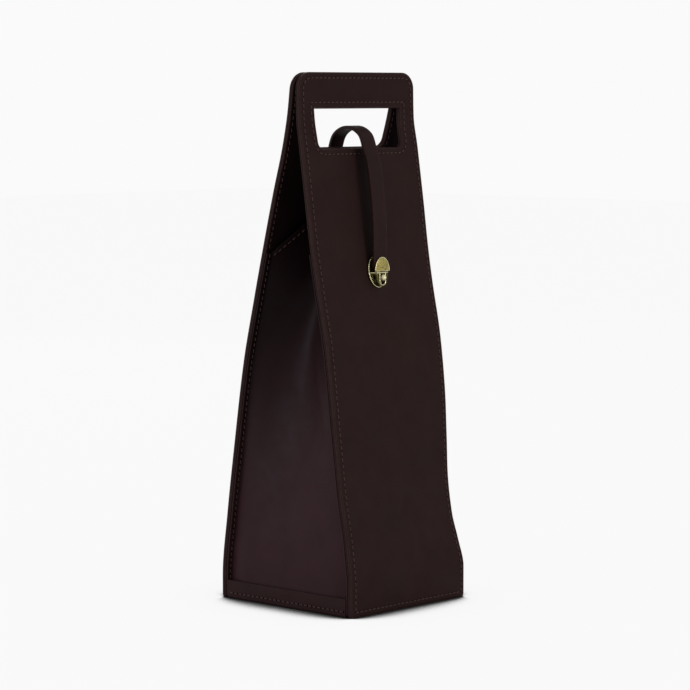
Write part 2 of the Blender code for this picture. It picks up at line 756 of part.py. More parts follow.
def build_catch_back():
    """Back plate behind the strap's end, with a flange turned forward under it."""
    name = "catch_back_plate"
    width = CATCH_WIDTH * CATCH_BACK_SHARE
    rise = CATCH_RISE * CATCH_BACK_SHARE
    flat = plate(name, [half_oval(width, rise, TOUCH_GAP, 1)], CATCH_BACK_OUT, CATCH_BACK_OUT + CATCH_PLATE)
    part = add_part(name, flat, BRASS)
    half = CATCH_FLANGE_WIDTH / 2
    flange_top = TOUCH_GAP + CATCH_PLATE
    flange = box_mesh("flange", (-half, TOUCH_GAP, CATCH_BACK_OUT + CATCH_PLATE / 2),
                      (half, flange_top, CATCH_FRONT_OUT - TOUCH_GAP))
    shape_with(part, "UNION", [flange])
    post_hole = cylinder_mesh("post_hole", (0, CATCH_POST_RISE), CATCH_POST_RADIUS + TOUCH_GAP,
                              CATCH_BACK_OUT - CUT_OVERRUN, CATCH_BACK_OUT + CUT_OVERRUN)
    shape_with(part, "DIFFERENCE", [nose_hole(-CUT_OVERRUN, flange_top + CATCH_PLATE / 2), post_hole])
    part.matrix_world = face_matrix()
    return part


def strap_guides():
    """Places that the middle of the strap passes through, from its sewn end to the lock."""
    flat_on_wall = -TOUCH_GAP - STRAP_THICKNESS / 2
    guides = []
    for share in (0.0, 0.5, 1.0):
        height = STRAP_SEWN_LOW + (STRAP_LEAVES_WALL - STRAP_SEWN_LOW) * share
        guides.append(BACK.place(0, height, flat_on_wall))
    back_leg = BACK.place(0, SLOT_LOW, -STRAP_BACK_STANDOFF)
    front_leg = FRONT.place(0, SLOT_LOW, -STRAP_FRONT_STANDOFF)
    middle = (back_leg + front_leg) / 2
    radius = (back_leg.y - front_leg.y) / 2
    guides.append(back_leg)
    for angle in (45, 90, 135):
        forward = radius * math.cos(math.radians(angle))
        rise = STRAP_ARCH_RISE * math.sin(math.radians(angle))
        guides.append(Vector((0, middle.y + forward, SLOT_LOW + rise)))
    guides.append(front_leg)
    for share, standoff_share in STRAP_HANG_SHARES:
        height = SLOT_LOW + (LOCK_HEIGHT - SLOT_LOW) * share
        guides.append(FRONT.place(0, height, -STRAP_HANG_STANDOFF * standoff_share))
    frame = face_matrix()
    for rise in (CATCH_RISE + STRAP_THICKNESS, STRAP_END_RISE):
        guides.append(frame @ Vector((0, rise, STRAP_MIDDLE_OUT)))
    return guides


def strap_route():
    """Smooth route through the guides, with the last run straight inside the catch."""
    guides = strap_guides()
    route = [guides[0]]
    for index in range(len(guides) - 2):
        before = guides[max(index - 1, 0)]
        start = guides[index]
        end = guides[index + 1]
        after = guides[index + 2]
        span = (end - start).length
        leave = (end - before).normalized() * span
        arrive = (after - start).normalized() * span
        for step in range(1, STRAP_SPLINE_STEPS + 1):
            share = step / STRAP_SPLINE_STEPS
            rest = 1 - share
            point = start * ((1 + 2 * share) * rest ** 2) + end * ((1 + 2 * rest) * share ** 2)
            route.append(point + leave * (share * rest ** 2) - arrive * (rest * share ** 2))
    route.append(guides[-1])
    return route


def split_route(route):
    """Splits the route where the strap bends as it is lifted, with square ends and a gap between."""
    apex = max(range(len(route)), key=lambda index: route[index].z)
    index = next(step for step in range(apex, len(route)) if route[step].z < STRAP_BEND_HEIGHT)
    above = route[index - 1]
    below = route[index]
    share = (above.z - STRAP_BEND_HEIGHT) / (above.z - below.z)
    bend = above.lerp(below, share)
    along = (below - above).normalized()
    gap = along * TOUCH_GAP / 2
    stub = along * STRAP_THICKNESS
    sewn = [point for point in route[:index] if (point - bend).length > 2 * STRAP_THICKNESS]
    free = [point for point in route[index:] if (point - bend).length > 2 * STRAP_THICKNESS]
    sewn += [bend - stub, bend - gap]
    return sewn, [bend + gap, bend + stub] + free, bend, along


def build_strap_piece(name, route):
    """Flat strap along part of the route."""
    bm = bmesh.new()
    half = Vector((STRAP_WIDTH / 2, 0, 0))
    edge_points = [bm.verts.new(point - half) for point in route]
    edges = []
    for first, second in zip(edge_points, edge_points[1:]):
        edges.append(bm.edges.new((first, second)))
    swept = bmesh.ops.extrude_edge_only(bm, edges=edges)["geom"]
    moved = [item for item in swept if isinstance(item, bmesh.types.BMVert)]
    bmesh.ops.translate(bm, verts=moved, vec=2 * half)
    mesh = bpy.data.meshes.new(name)
    bm.to_mesh(mesh)
    bm.free()
    part = add_part(name, mesh, LEATHER)
    thicken(part, STRAP_THICKNESS)
    return part


def build_strap(sewn_route, free_route):
    build_strap_piece("strap_sewn_end", sewn_route)
    free = build_strap_piece("strap_free_end", free_route)
    hole = cylinder_mesh("post_hole", (0, CATCH_POST_RISE), CATCH_POST_RADIUS + TOUCH_GAP,
                         STRAP_BACK_OUT - CUT_OVERRUN, STRAP_BACK_OUT + 2 * CUT_OVERRUN)
    hole.transform(face_matrix())
    shape_with(free, "DIFFERENCE", [hole])
    return free


def carry_on(name, place, parts):
    """Empty on a joint's axis that carries the parts which move about it."""
    pivot = bpy.data.objects.new(name, None)
    pivot.location = place
    PARTS.objects.link(pivot)
    bpy.context.view_layer.update()
    for part in parts:
        part.parent = pivot
        part.matrix_parent_inverse = pivot.matrix_world.inverted()
    return pivot


def build_caddy():
    build_back_wall()
    build_base_leather()
    build_base_inside()
    front_parts = build_front_wall()
    for side, side_name in ((-1, "left"), (1, "right")):
        build_gusset_half(side_name + "_gusset_back_half", BACK, side)
        front_parts.append(build_gusset_half(side_name + "_gusset_front_half", FRONT, side))
    front_parts += [build_lock_plate(), build_backing_plate(), build_housing(), build_spring()]
    slider_parts = [build_slider_bar(), build_knob()]
    sewn_route, free_route, bend, along = split_route(strap_route())
    strap_parts = [build_strap(sewn_route, free_route), build_catch_front(), build_catch_back()]
    inner_side = Vector((1, 0, 0)).cross(along)
    strap_axis = bend - inner_side * STRAP_THICKNESS / 2
    front_parts.append(carry_on("strap_pivot", strap_axis, strap_parts))
    front_parts.append(carry_on("slider_guide", face_matrix().translation, slider_parts))
    carry_on("mouth_pivot", FRONT.place(0, 0, 0), front_parts)


clear_scene()
PARTS = make_collection("wine_caddy")
CUTTERS = make_collection("cutters")
build_caddy()
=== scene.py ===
# Looks of the leather wine caddy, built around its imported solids. Metres, +Z up, the front wall
# faces -Y.
import json
import math
from contextlib import contextmanager
from functools import partial

import bmesh
import bpy
from mathutils import Matrix, Vector

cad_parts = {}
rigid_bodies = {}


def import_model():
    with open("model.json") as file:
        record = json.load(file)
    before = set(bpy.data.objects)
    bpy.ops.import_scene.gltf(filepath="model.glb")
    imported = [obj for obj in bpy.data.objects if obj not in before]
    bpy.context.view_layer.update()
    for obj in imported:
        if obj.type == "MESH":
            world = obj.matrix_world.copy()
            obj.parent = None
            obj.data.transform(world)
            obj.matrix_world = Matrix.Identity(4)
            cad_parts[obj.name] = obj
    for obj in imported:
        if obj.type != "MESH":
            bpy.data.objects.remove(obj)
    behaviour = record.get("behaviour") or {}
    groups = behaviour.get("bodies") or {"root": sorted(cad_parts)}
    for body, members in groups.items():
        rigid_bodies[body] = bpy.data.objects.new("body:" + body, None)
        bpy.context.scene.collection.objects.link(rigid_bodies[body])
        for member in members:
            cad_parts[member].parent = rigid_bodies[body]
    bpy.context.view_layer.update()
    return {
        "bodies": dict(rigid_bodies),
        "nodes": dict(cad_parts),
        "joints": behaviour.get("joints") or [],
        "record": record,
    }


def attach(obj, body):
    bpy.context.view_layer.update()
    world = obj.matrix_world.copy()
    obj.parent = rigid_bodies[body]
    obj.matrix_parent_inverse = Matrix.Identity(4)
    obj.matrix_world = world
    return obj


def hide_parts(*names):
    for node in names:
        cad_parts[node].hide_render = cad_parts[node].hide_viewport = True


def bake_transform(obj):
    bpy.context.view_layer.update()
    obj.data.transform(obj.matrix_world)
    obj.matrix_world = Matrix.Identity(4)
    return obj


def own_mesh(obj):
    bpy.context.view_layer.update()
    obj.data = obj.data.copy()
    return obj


# Body, the same sizes as the solids
BODY_WIDTH = 0.118
BODY_DEPTH = 0.125
BODY_HEIGHT = 0.370
SLOPE_STEP = 0.004
TOUCH_GAP = 0.0003
FRONT_LEAN_SHARES = (
    (0.000, 1.000), (0.060, 1.000), (0.110, 0.944), (0.160, 0.876), (0.230, 0.806), (0.300, 0.770),
    (0.405, 0.714), (0.500, 0.643), (0.600, 0.523), (0.675, 0.443), (0.757, 0.373), (0.857, 0.286),
    (0.920, 0.230), (1.000, 0.221),
)
FRONT_TWIST_SHARES = (
    (0.000, 0.000), (0.060, 0.000), (0.110, -0.026), (0.160, -0.053), (0.230, -0.045),
    (0.300, -0.027), (0.405, -0.005), (0.500, -0.002), (0.600, 0.000), (0.757, 0.009),
    (0.857, 0.007), (0.920, 0.000), (1.000, 0.000),
)
BACK_LEAN_SHARES = (
    (0.000, 1.000), (0.040, 1.000), (0.168, 0.917), (0.297, 0.806), (0.457, 0.653), (0.573, 0.494),
    (0.681, 0.336), (0.781, 0.182), (0.865, 0.042), (0.930, -0.035), (1.000, -0.083),
)
BACK_TWIST_SHARES = ((0.000, 0.000), (1.000, 0.000))

# Wall layers and outlines
LEATHER_DEPTH = 0.0014
RIM_DEPTH = 0.0025
WALL_THICKNESS = 0.0040
POCKET_INSET = 0.0062
POCKET_GROW = 0.0027
WALL_CORNER_RADIUS = 0.0115
WALL_FOOT_RADIUS = 0.0022
WALL_LEAST_RADIUS = 0.0003
FOOT_STEPS = 4
SLOT_SIDE_AT_TOP = 0.0152
SLOT_HIGH = 0.3453
# Each wall's slot: how far its foot stays from the side, its lowest height and its corners' radius
FRONT_SLOT = {"side": 0.0165, "low": 0.3178, "radius": 0.0046}
BACK_SLOT = {"side": 0.0175, "low": 0.3186, "radius": 0.0065}
CORNER_STEPS = 10
CORNER_TURN_STEPS = 6
EDGE_STEPS = 4
KNOB_SLOT_STEPS = 20
WALL_ROW_STEP = 0.0040
WALL_COLUMN_STEP = 0.0080
EDGE_INSET = 0.0011

# Cross-section of a wall's edge as (inset, depth), from the outer face round to the inner one
SEAM_INSET = 0.0040
INNER_SEAM_INSET = 0.0030
SEAM_SINK = 0.0002
OUTER_PROFILE = (
    (0.0051, 0.0), (0.0047, 0.00004), (0.0043, 0.00016), (0.0040, 0.0002), (0.0037, 0.00016),
    (0.0033, 0.00004), (0.0029, 0.0), (0.0019, 0.0), (0.0013, 0.00003), (0.0009, 0.00012),
    (0.0005, 0.00032), (0.00022, 0.00062), (0.00006, 0.00105), (0.0, 0.0015), (0.00002, 0.0020),
    (0.00012, 0.0023), (0.00032, 0.0025), (0.0030, 0.0025),
)
LINING_PROFILE = (
    (0.0026, 0.0026), (0.00032, 0.0026), (0.00010, 0.0028), (0.0, 0.0032), (0.00018, 0.0036),
    (0.0005, 0.0038), (0.0010, 0.00394), (0.0016, 0.0040), (0.0020, 0.0040), (0.0024, 0.00396),
    (0.0027, 0.00384), (0.0030, 0.0038), (0.0033, 0.00384), (0.0036, 0.00396), (0.0040, 0.0040),
)

# Stitching
STITCH_PITCH = 0.0042
STITCH_LENGTH = 0.0029
THREAD_RADIUS = 0.00036
STITCH_SINK = 0.00030
STITCH_RISE = 0.00062
STITCH_SLANT = 0.00016
STITCH_SEGMENTS = 6
THREAD_SIDES = 6
HOLE_LENGTH = 0.00170
HOLE_WIDTH = 0.00130
HOLE_PROUD = 0.00012
HOLE_SIDES = 8

# Base
BASE_LEATHER = 0.0013
BAND_HEIGHT = 0.0130
BAND_STITCH_HEIGHT = 0.0042
BASE_HALF_DEPTH = 0.0582
FLANGE_HEIGHT = 0.0090
FLANGE_WIDTH = 0.0930
BASE_CORNER = 0.0016
BASE_EDGE = 0.0004
BASE_SEGMENTS = 24

# Gussets
GUSSET_LEATHER = 0.0012
GUSSET_SEAM_INSET = 0.0050
GUSSET_SEAM_HEIGHT = 0.2470
GUSSET_PEAK_RISE = 0.0330
GUSSET_FOLD_DEPTH = 0.0345
GUSSET_FOLD_START = 0.0300
FOLD_GROWTH = 1.4
SWELL_SPREAD_SHARE = 0.33
SOFTNESS_AT_BASE = 0.9
SOFTNESS_AT_TOP = 0.16
SEAM_TURN_RADIUS = 0.0016
SEAM_TURN_STEPS = 5
GUSSET_COLUMNS = 56
GUSSET_ROWS = 90
GUSSET_FIRST_HEIGHT = 0.0016
HEM_HEIGHT = 0.0065
HEM_STITCH_DROP = 0.0042
HEM_PROUD = 0.0007
HEM_STEPS = 5
HEM_SAMPLES = 240
# Painted shade on the gusset leather as (direction, start, end, share): its colour darkens towards the top
# and the back, down to 0.28 of itself, in place of the shade of the walls and the inside
GUSSET_PAINTED_SHADE = ((0.0, 0.67, 1.0), 0.07, 0.215, 0.28)
CREASE_REACH_SHARE = 0.45
CREASES = (
    (0.150, -0.35, 0.0009, 0.012, 0.9), (0.118, -0.20, -0.0007, 0.016, 0.7),
    (0.082, 0.25, 0.0006, 0.020, -0.5), (0.190, 0.30, 0.0008, 0.014, -0.8),
)

# Strap
STRAP_WIDTH = 0.0135
STRAP_THICKNESS = 0.0022
STRAP_EDGE = 0.0007
STRAP_SEWN_LOW = 0.2620
STRAP_LEAVES_WALL = 0.2945
STRAP_LEG_HEIGHT = 0.3165
STRAP_BACK_STANDOFF = 0.0040
STRAP_ARCH_RISE = 0.0155
STRAP_FRONT_STANDOFF = 0.0070
STRAP_HANG_STANDOFF = 0.0095
STRAP_HANG_SHARES = ((0.13, 0.97), (0.40, 1.00), (0.62, 0.90))
STRAP_BEND_HEIGHT = 0.3212
STRAP_STEPS = 14
STRAP_FACE_SHARES = (0.6, 0.2, -0.2, -0.6)
STRAP_STITCH_INSET = 0.0022

# Lock
LOCK_HEIGHT = 0.2320
LOCK_PLATE = 0.0010
LOCK_PLATE_WIDTH = 0.0174
LOCK_PLATE_HEIGHT = 0.0220
LOCK_FACE_TILT = math.radians(9.0)
LOCK_EDGE = 0.00028
OVAL_STEPS = 36
HOUSING_WIDTH = 0.0152
HOUSING_DROP = 0.0102
HOUSING_FRONT = 0.0050
HOUSING_WALL = 0.0008
HOUSING_SLOT_HIGH = 0.0013
KNOB_SLOT_HALF = 0.0025
KNOB_SLOT_DROP = 0.0088
WINDOW_HIGH = 0.0021
WINDOW_LOW = 0.0066
WINDOW_BACK = 0.0019
WINDOW_FRONT = 0.0036
SLOT_BEAD_RADIUS = 0.00040
CASE_SLOPE_SHARE = 0.46
RIM_BEAD_RADIUS = 0.00042
RIDGE_RADIUS = 0.00048
RIDGE_DROP = 0.00052
RIDGE_TURN_RADIUS = 0.0006
RIDGE_START_OUT = 0.0008
RECESS_MARGIN = 0.0007
RECESS_DEPTH = 0.0005
TURN_STEPS = 32
BEAD_ROUNDING = 3
KNOB_DROP = 0.0040
KNOB_RADIUS = 0.0021
KNOB_CENTRE_OUT = 0.0058
KNOB_NECK_RADIUS = 0.0009
KNOB_START_OUT = 0.0037
KNOB_STEPS = 18
SLIDER_BACK = 0.0022
SLIDER_THICKNESS = 0.0012
NOSE_WIDTH = 0.0024
SPRING_RADIUS = 0.0009
SPRING_WIRE_RADIUS = 0.00015
SPRING_HIGH = -0.00535
SPRING_LOW = -0.0088
SPRING_TURNS = 5
SPRING_TURN_STEPS = 16
CATCH_WIDTH = 0.0148
CATCH_RISE = 0.0100
CATCH_PLATE = 0.0008
CATCH_BACK_OUT = 0.0006
CATCH_FRONT_OUT = 0.0042
CATCH_DOME = 0.00045
CATCH_CROWN_SHARE = 0.4
CATCH_CUTS = 12
CATCH_RIM_RADIUS = 0.00034
CATCH_POST_RADIUS = 0.0012
CATCH_POST_RISE = 0.0058
STRAP_MIDDLE_OUT = 0.0028
STRAP_END_RISE = 0.0019
CUT_OVERRUN = 0.003
WELD_DISTANCE = 0.000001

# Angles between faces: where shading stays smooth, and where edges are rounded
CORNER_ANGLE = math.radians(35)
ROUNDED_ANGLE = math.radians(50)
SOFTENED_ANGLE = math.radians(40)
SHEET_ANGLE = math.radians(60)

# Depths of the surface relief in the materials
CREASE_BUMP = 0.00008
GRAIN_BUMP = 0.00006
EDGE_BUMP = 0.00012
THREAD_BUMP = 0.00008
BRASS_BUMP = 0.00006
FIBRE_BUMP = 0.0002
GRAIN_SCALE = 1100.0

# Leathers as (name, dark, light, roughness, shine), with a grain scale and a painted shade where they differ
LEATHERS = {
    "leather": ("dark_brown_leather", (0.0135, 0.0056, 0.0049), (0.0182, 0.0079, 0.0071), 0.56, 0.05),
    "strap": ("strap_leather", (0.0138, 0.0058, 0.0055), (0.0190, 0.0083, 0.0080), 0.54, 0.05),
    # The gusset leather is lighter and more violet than the walls': partly its own tone, partly a painted
    # sheen
    "gusset": ("gusset_leather", (0.0215, 0.0078, 0.0092), (0.0280, 0.0106, 0.0124), 0.46, 0.06,
               1300.0, GUSSET_PAINTED_SHADE),
    "band": ("band_leather", (0.0185, 0.0080, 0.0080), (0.0250, 0.0112, 0.0112), 0.54, 0.05),
    # The needle holes' near black colour is painted shade of the holes
    "hole": ("needle_hole", (0.0016, 0.0008, 0.0008), (0.0030, 0.0016, 0.0015), 0.8, 0.0),
    "lining": ("dark_lining", (0.0085, 0.0036, 0.0040), (0.0140, 0.0062, 0.0068), 0.75, 0.02),
}

# Brasses as (name, dark, middle, light, rough, smooth): the mottled face, worn bright rims, the
# tarnished case, and dark patina in the recesses
BRASSES = {
    "brass": ("antique_brass", (0.085, 0.068, 0.018), (0.23, 0.19, 0.055), (0.46, 0.40, 0.15), 0.46, 0.28),
    "rim": ("worn_brass", (0.26, 0.235, 0.12), (0.46, 0.42, 0.24), (0.72, 0.68, 0.46), 0.34, 0.18),
    "knob": ("knob_brass", (0.44, 0.41, 0.23), (0.56, 0.53, 0.32), (0.66, 0.63, 0.42), 0.66, 0.52),
    "case": ("tarnished_brass", (0.016, 0.012, 0.005), (0.060, 0.048, 0.014), (0.20, 0.17, 0.055),
             0.55, 0.38),
    "patina": ("brass_patina", (0.010, 0.007, 0.003), (0.024, 0.018, 0.008), (0.055, 0.043, 0.016),
               0.62, 0.46),
}

# Camera and stage
CAMERA_AZIMUTH = math.radians(-47.25)
CAMERA_ELEVATION = math.radians(5.21)
CAMERA_DISTANCE = 1.9504
CAMERA_FOCUS = (0.00048, -0.00130, 0.17917)
CAMERA_LENS = 144.7
SENSOR = 36.0
FLOOR_SIZE = 12.0
BACKGROUND = (0.956, 0.956, 0.956)
# Painted contact shadow in the floor's glow: the ambient occlusion's reach, the direction it is looked for
# along, and the glow at each occlusion level
SHADOW_REACH = 0.060
SHADOW_SIDE = (0.62, 0.78, 0.35)
SHADOW_LEVELS = (
    (0.480, 0.004), (0.530, 0.014), (0.563, 0.046), (0.597, 0.125), (0.628, 0.270), (0.652, 0.430),
    (0.675, 0.620), (0.703, 0.770), (0.727, 0.870), (0.760, 0.920), (0.800, 0.942), (1.0, 0.956),
)
SHOWN_SHARE = 0.98
WORLD_FILL = 0.33
FLOOR_COLOUR = (0.90, 0.90, 0.90)
# Soft lights as (name, place, size, power, colour), all aimed at the middle of the caddy
LIGHTS = (
    ("key", (0.30, -1.95, 0.55), 1.0, 17.0, (1.0, 0.985, 0.97)),
    ("side", (-1.7, 0.75, 0.35), 1.4, 17.0, (0.92, 0.90, 1.0)),
    ("back", (0.9, 1.8, 0.9), 1.2, 9.0, (1.0, 0.99, 0.98)),
    ("top", (0.0, 0.0, 2.0), 1.4, 4.5, (1.0, 1.0, 1.0)),
)


def spread(low, high, steps):
    """Evenly spaced values from low to high, with both ends."""
    return [low + (high - low) * step / steps for step in range(steps + 1)]


def stretch_at(places, place):
    """Which stretch between rising places a place is on, and how far along it, as a share."""
    place = min(max(place, places[0]), places[-1])
    index = max(step for step in range(len(places) - 1) if places[step] <= place)
    return index, (place - places[index]) / (places[index + 1] - places[index])


def eased(start, end, leave, arrive, share):
    """Cubic from start to end that leaves and arrives with the given slopes."""
    rest = 1 - share
    ends = start * ((1 + 2 * share) * rest ** 2) + end * ((1 + 2 * rest) * share ** 2)
    return ends + leave * (share * rest ** 2) - arrive * (rest * share ** 2)


def smooth_curve(points):
    """Cubic curve through (place, value) points that never overshoots them."""
    places, values = zip(*points)
    slopes = [(after[1] - before[1]) / (after[0] - before[0]) for before, after in zip(points, points[1:])]
    tangents = [slopes[0]]
    for before, after in zip(slopes, slopes[1:]):
        same_way = before * after > 0
        tangents.append(2 * before * after / (before + after) if same_way else 0.0)
    tangents.append(slopes[-1])

    def value_at(place):
        index, share = stretch_at(places, place)
        span = places[index + 1] - places[index]
        leave, arrive = tangents[index] * span, tangents[index + 1] * span
        return eased(values[index], values[index + 1], leave, arrive, share)

    return value_at


class Wall:
    """A leaning wall. A flat place is x, height and depth, which counts inward from the outer
    face; place() gives where it lies on the bent wall."""

    def __init__(self, side, lean_shares, twist_shares, slot):
        self.side = side
        self.slot = slot
        self.lean = smooth_curve(lean_shares)
        self.twist = smooth_curve(twist_shares)

    def outward(self, x, height):
        share = height / BODY_HEIGHT
        across = x / (BODY_WIDTH / 2)
        return (self.lean(share) + across * self.twist(share)) * BODY_DEPTH / 2

    def place(self, x, height, depth):
        low = max(height - SLOPE_STEP, 0.0)
        high = min(height + SLOPE_STEP, BODY_HEIGHT)
        slope = (self.outward(x, high) - self.outward(x, low)) / (high - low)
        run = math.hypot(1, slope)
        out = self.outward(x, height) - depth / run
        return Vector((x, self.side * out, height + depth * slope / run))


FRONT = Wall(-1, FRONT_LEAN_SHARES, FRONT_TWIST_SHARES, FRONT_SLOT)
BACK = Wall(1, BACK_LEAN_SHARES, BACK_TWIST_SHARES, BACK_SLOT)


def arc(centre, radius, start, end, steps=CORNER_STEPS):
    """Points on an arc, angles in degrees."""
    angles = [math.radians(angle) for angle in spread(start, end, steps)]
    return [(centre[0] + radius * math.cos(angle), centre[1] + radius * math.sin(angle)) for angle in angles]


def low_corners(half, low, radius, steps=CORNER_STEPS):
    """An outline's two rounded bottom corners, from the left one to the right."""
    points = arc((radius - half, low + radius), radius, 180, 270, steps)
    return points + arc((half - radius, low + radius), radius, 270, 360, steps)


def wall_outline(inset):
    foot = max(WALL_FOOT_RADIUS - inset, WALL_LEAST_RADIUS)
    return low_corners(BODY_WIDTH / 2 - inset, inset, foot, FOOT_STEPS) + wall_arch(inset)


def wall_arch(inset):
    """The wall's two rounded top corners, from the right one to the left."""
    half = BODY_WIDTH / 2 - inset
    top = BODY_HEIGHT - inset
    radius = WALL_CORNER_RADIUS - inset
    points = arc((half - radius, top - radius), radius, 0, 90)
    return points + arc((radius - half, top - radius), radius, 90, 180)


def slot_outline(slot, grow):
    half_top = BODY_WIDTH / 2 - SLOT_SIDE_AT_TOP + grow
    half_low = BODY_WIDTH / 2 - slot["side"] + grow
    high = SLOT_HIGH + grow
    top = [(half_top, high), (-half_top, high)]
    return top + low_corners(half_low, slot["low"] - grow, slot["radius"] + grow)


def new_object(name, data):
    made = bpy.data.objects.new(name, data)
    bpy.context.scene.collection.objects.link(made)
    return made


def new_piece(name, bm, materials):
    mesh = bpy.data.meshes.new(name)
    bm.to_mesh(mesh)
    bm.free()
    for material in materials:
        mesh.materials.append(material)
    return new_object(name, mesh)


def shade_smooth(piece):
    for face in piece.data.polygons:
        face.use_smooth = True


@contextmanager
def mesh_of(piece):
    """Opens a piece's mesh for changes and puts it back."""
    bm = bmesh.new()
    bm.from_mesh(piece.data)
    yield bm
    bm.to_mesh(piece.data)
    bm.free()


def applied(piece):
    """Turns a piece's modifiers, or its curve, into its own mesh."""
    bpy.context.view_layer.update()
    graph = bpy.context.evaluated_depsgraph_get()
    mesh = bpy.data.meshes.new_from_object(piece.evaluated_get(graph))
    if piece.type == "MESH":
        piece.modifiers.clear()
        piece.data = mesh
        return piece
    name = piece.name
    bpy.data.objects.remove(piece)
    return new_object(name, mesh)


def face_outward(bm):
    bmesh.ops.recalc_face_normals(bm, faces=bm.faces)
    if bm.calc_volume(signed=True) < 0:
        bmesh.ops.reverse_faces(bm, faces=bm.faces)


def slice_mesh(bm, columns, rows):
    """Cuts a mesh along columns and rows, apart from the first and the last of each."""
    for axis, places in ((1, rows), (0, columns)):
        normal = Vector((0, 0, 0))
        normal[axis] = 1
        for place in places[1:-1]:
            everything = bm.verts[:] + bm.edges[:] + bm.faces[:]
            bmesh.ops.bisect_plane(bm, geom=everything, dist=WELD_DISTANCE, plane_co=normal * place,
                                   plane_no=normal)


# Materials


class Nodes:
    """Short way to add and join the nodes of a material or of the world."""

    def __init__(self, holder):
        self.material = holder
        holder.use_nodes = True
        self.tree = holder.node_tree
        self.shader = self.tree.nodes.get("Principled BSDF")

    def feed(self, node, inputs):
        """Sets a node's inputs, each from a value or from the output that drives it."""
        for key, value in inputs.items():
            if isinstance(value, bpy.types.NodeSocket):
                self.tree.links.new(value, node.inputs[key])
            else:
                node.inputs[key].default_value = value

    def add(self, kind, inputs, **settings):
        node = self.tree.nodes.new("ShaderNode" + kind)
        for key, value in settings.items():
            setattr(node, key, value)
        self.feed(node, inputs)
        return node

    def surface(self, **values):
        """Sets the shader's own inputs and gives the material."""
        self.feed(self.shader, {key.replace("_", " "): value for key, value in values.items()})
        return self.material

    def place(self):
        return self.add("TexCoord", {}).outputs["Object"]

    def noise(self, scale, detail, roughness):
        inputs = {"Vector": self.place(), "Scale": scale, "Detail": detail, "Roughness": roughness}
        return self.add("TexNoise", inputs).outputs["Fac"]

    def cells(self, scale):
        inputs = {"Vector": self.place(), "Scale": scale}
        return self.add("TexVoronoi", inputs, feature="SMOOTH_F1").outputs["Distance"]

    def ramp(self, source, *stops):
        """Colour ramp from (place, colour) stops."""
        node = self.add("ValToRGB", {"Fac": source})
        elements = node.color_ramp.elements
        while len(elements) < len(stops):
            elements.new(1.0)
        for element, (place, colour) in zip(elements, stops):
            element.position = place
            element.color = (*colour, 1.0)
        return node.outputs["Color"]

    def grey(self, source, low, high, start=0.0, end=1.0):
        inputs = {"Value": source, "From Min": start, "From Max": end, "To Min": low, "To Max": high}
        return self.add("MapRange", inputs).outputs["Result"]

    def sum_of(self, first, second, operation="ADD"):
        return self.add("Math", {0: first, 1: second}, operation=operation).outputs[0]

    def fade(self, colour, way, low, high, share):
        """Colour brought down to a share of itself between two places along a direction: painted shade."""
        along = self.add("VectorMath", {0: self.place(), 1: way}, operation="DOT_PRODUCT")
        level = self.grey(along.outputs["Value"], 1.0, share, low, high)
        return self.add("VectorMath", {0: colour, "Scale": level}, operation="SCALE").outputs[0]

    def bump(self, height, distance, strength, below=None):
        inputs = {"Height": height, "Distance": distance, "Strength": strength}
        if below:
            inputs["Normal"] = below
        return self.add("Bump", inputs).outputs["Normal"]

    def seen_directly(self):
        """1 where the camera sees a surface itself, in a mirror or through glass."""
        rays = self.add("LightPath", {}).outputs
        shown = self.sum_of(rays["Is Camera Ray"], rays["Is Glossy Ray"], "MAXIMUM")
        return self.sum_of(shown, rays["Is Transmission Ray"], "MAXIMUM")

    def mixed(self, share, first, second, output):
        """Shows a share of the second look over the first."""
        mix = self.add("MixShader", {"Fac": share, 1: first, 2: second})
        self.feed(self.tree.nodes[output], {"Surface": mix.outputs["Shader"]})


def new_material(name):
    return Nodes(bpy.data.materials.new(name))


def leather(name, dark, light, roughness, shine, grain_scale=GRAIN_SCALE, fade=None):
    """Finished leather: fine pebbled grain, soft cloudy colour and uneven polish, with painted shade along a
    direction where one is given.
    """
    nodes = new_material(name)
    clouds = nodes.grey(nodes.noise(38.0, 4.0, 0.6), 0.0, 0.75, 0.3, 0.7)
    specks = nodes.grey(nodes.noise(1400.0, 2.0, 0.6), 0.0, 0.25, 0.3, 0.7)
    colour = nodes.ramp(nodes.sum_of(clouds, specks), (0.0, dark), (1.0, light))
    # Painted shade: the colour darkens along a direction, standing in for shade that falls there
    if fade:
        colour = nodes.fade(colour, *fade)
    polish = nodes.noise(90.0, 3.0, 0.55)
    creases = nodes.bump(nodes.noise(260.0, 4.0, 0.62), CREASE_BUMP, 0.30)
    pebbles = nodes.bump(nodes.cells(grain_scale), GRAIN_BUMP, 0.5, creases)
    pores = nodes.noise(grain_scale * 2.6, 3.0, 0.6)
    return nodes.surface(Base_Color=colour, Specular_IOR_Level=shine,
                         Roughness=nodes.grey(polish, roughness - 0.05, roughness + 0.06, 0.3, 0.7),
                         Normal=nodes.bump(pores, GRAIN_BUMP / 2, 0.4, pebbles))


def edge_finish():
    """Painted and burnished cut edge of the leather."""
    nodes = new_material("painted_edge")
    streaks = nodes.noise(420.0, 4.0, 0.6)
    colour = nodes.ramp(streaks, (0.3, (0.0200, 0.0092, 0.0082)), (0.7, (0.0325, 0.0162, 0.0146)))
    return nodes.surface(Base_Color=colour, Roughness=nodes.grey(streaks, 0.40, 0.56, 0.3, 0.7),
                         Specular_IOR_Level=0.05, Normal=nodes.bump(streaks, EDGE_BUMP, 0.5))


def thread():
    """Waxed reddish brown thread."""
    nodes = new_material("sewing_thread")
    twist = nodes.noise(2600.0, 2.0, 0.5)
    colour = nodes.ramp(twist, (0.3, (0.042, 0.0230, 0.0220)), (0.7, (0.094, 0.0520, 0.0500)))
    return nodes.surface(Base_Color=colour, Roughness=0.6, Specular_IOR_Level=0.1,
                         Normal=nodes.bump(twist, THREAD_BUMP, 0.6))


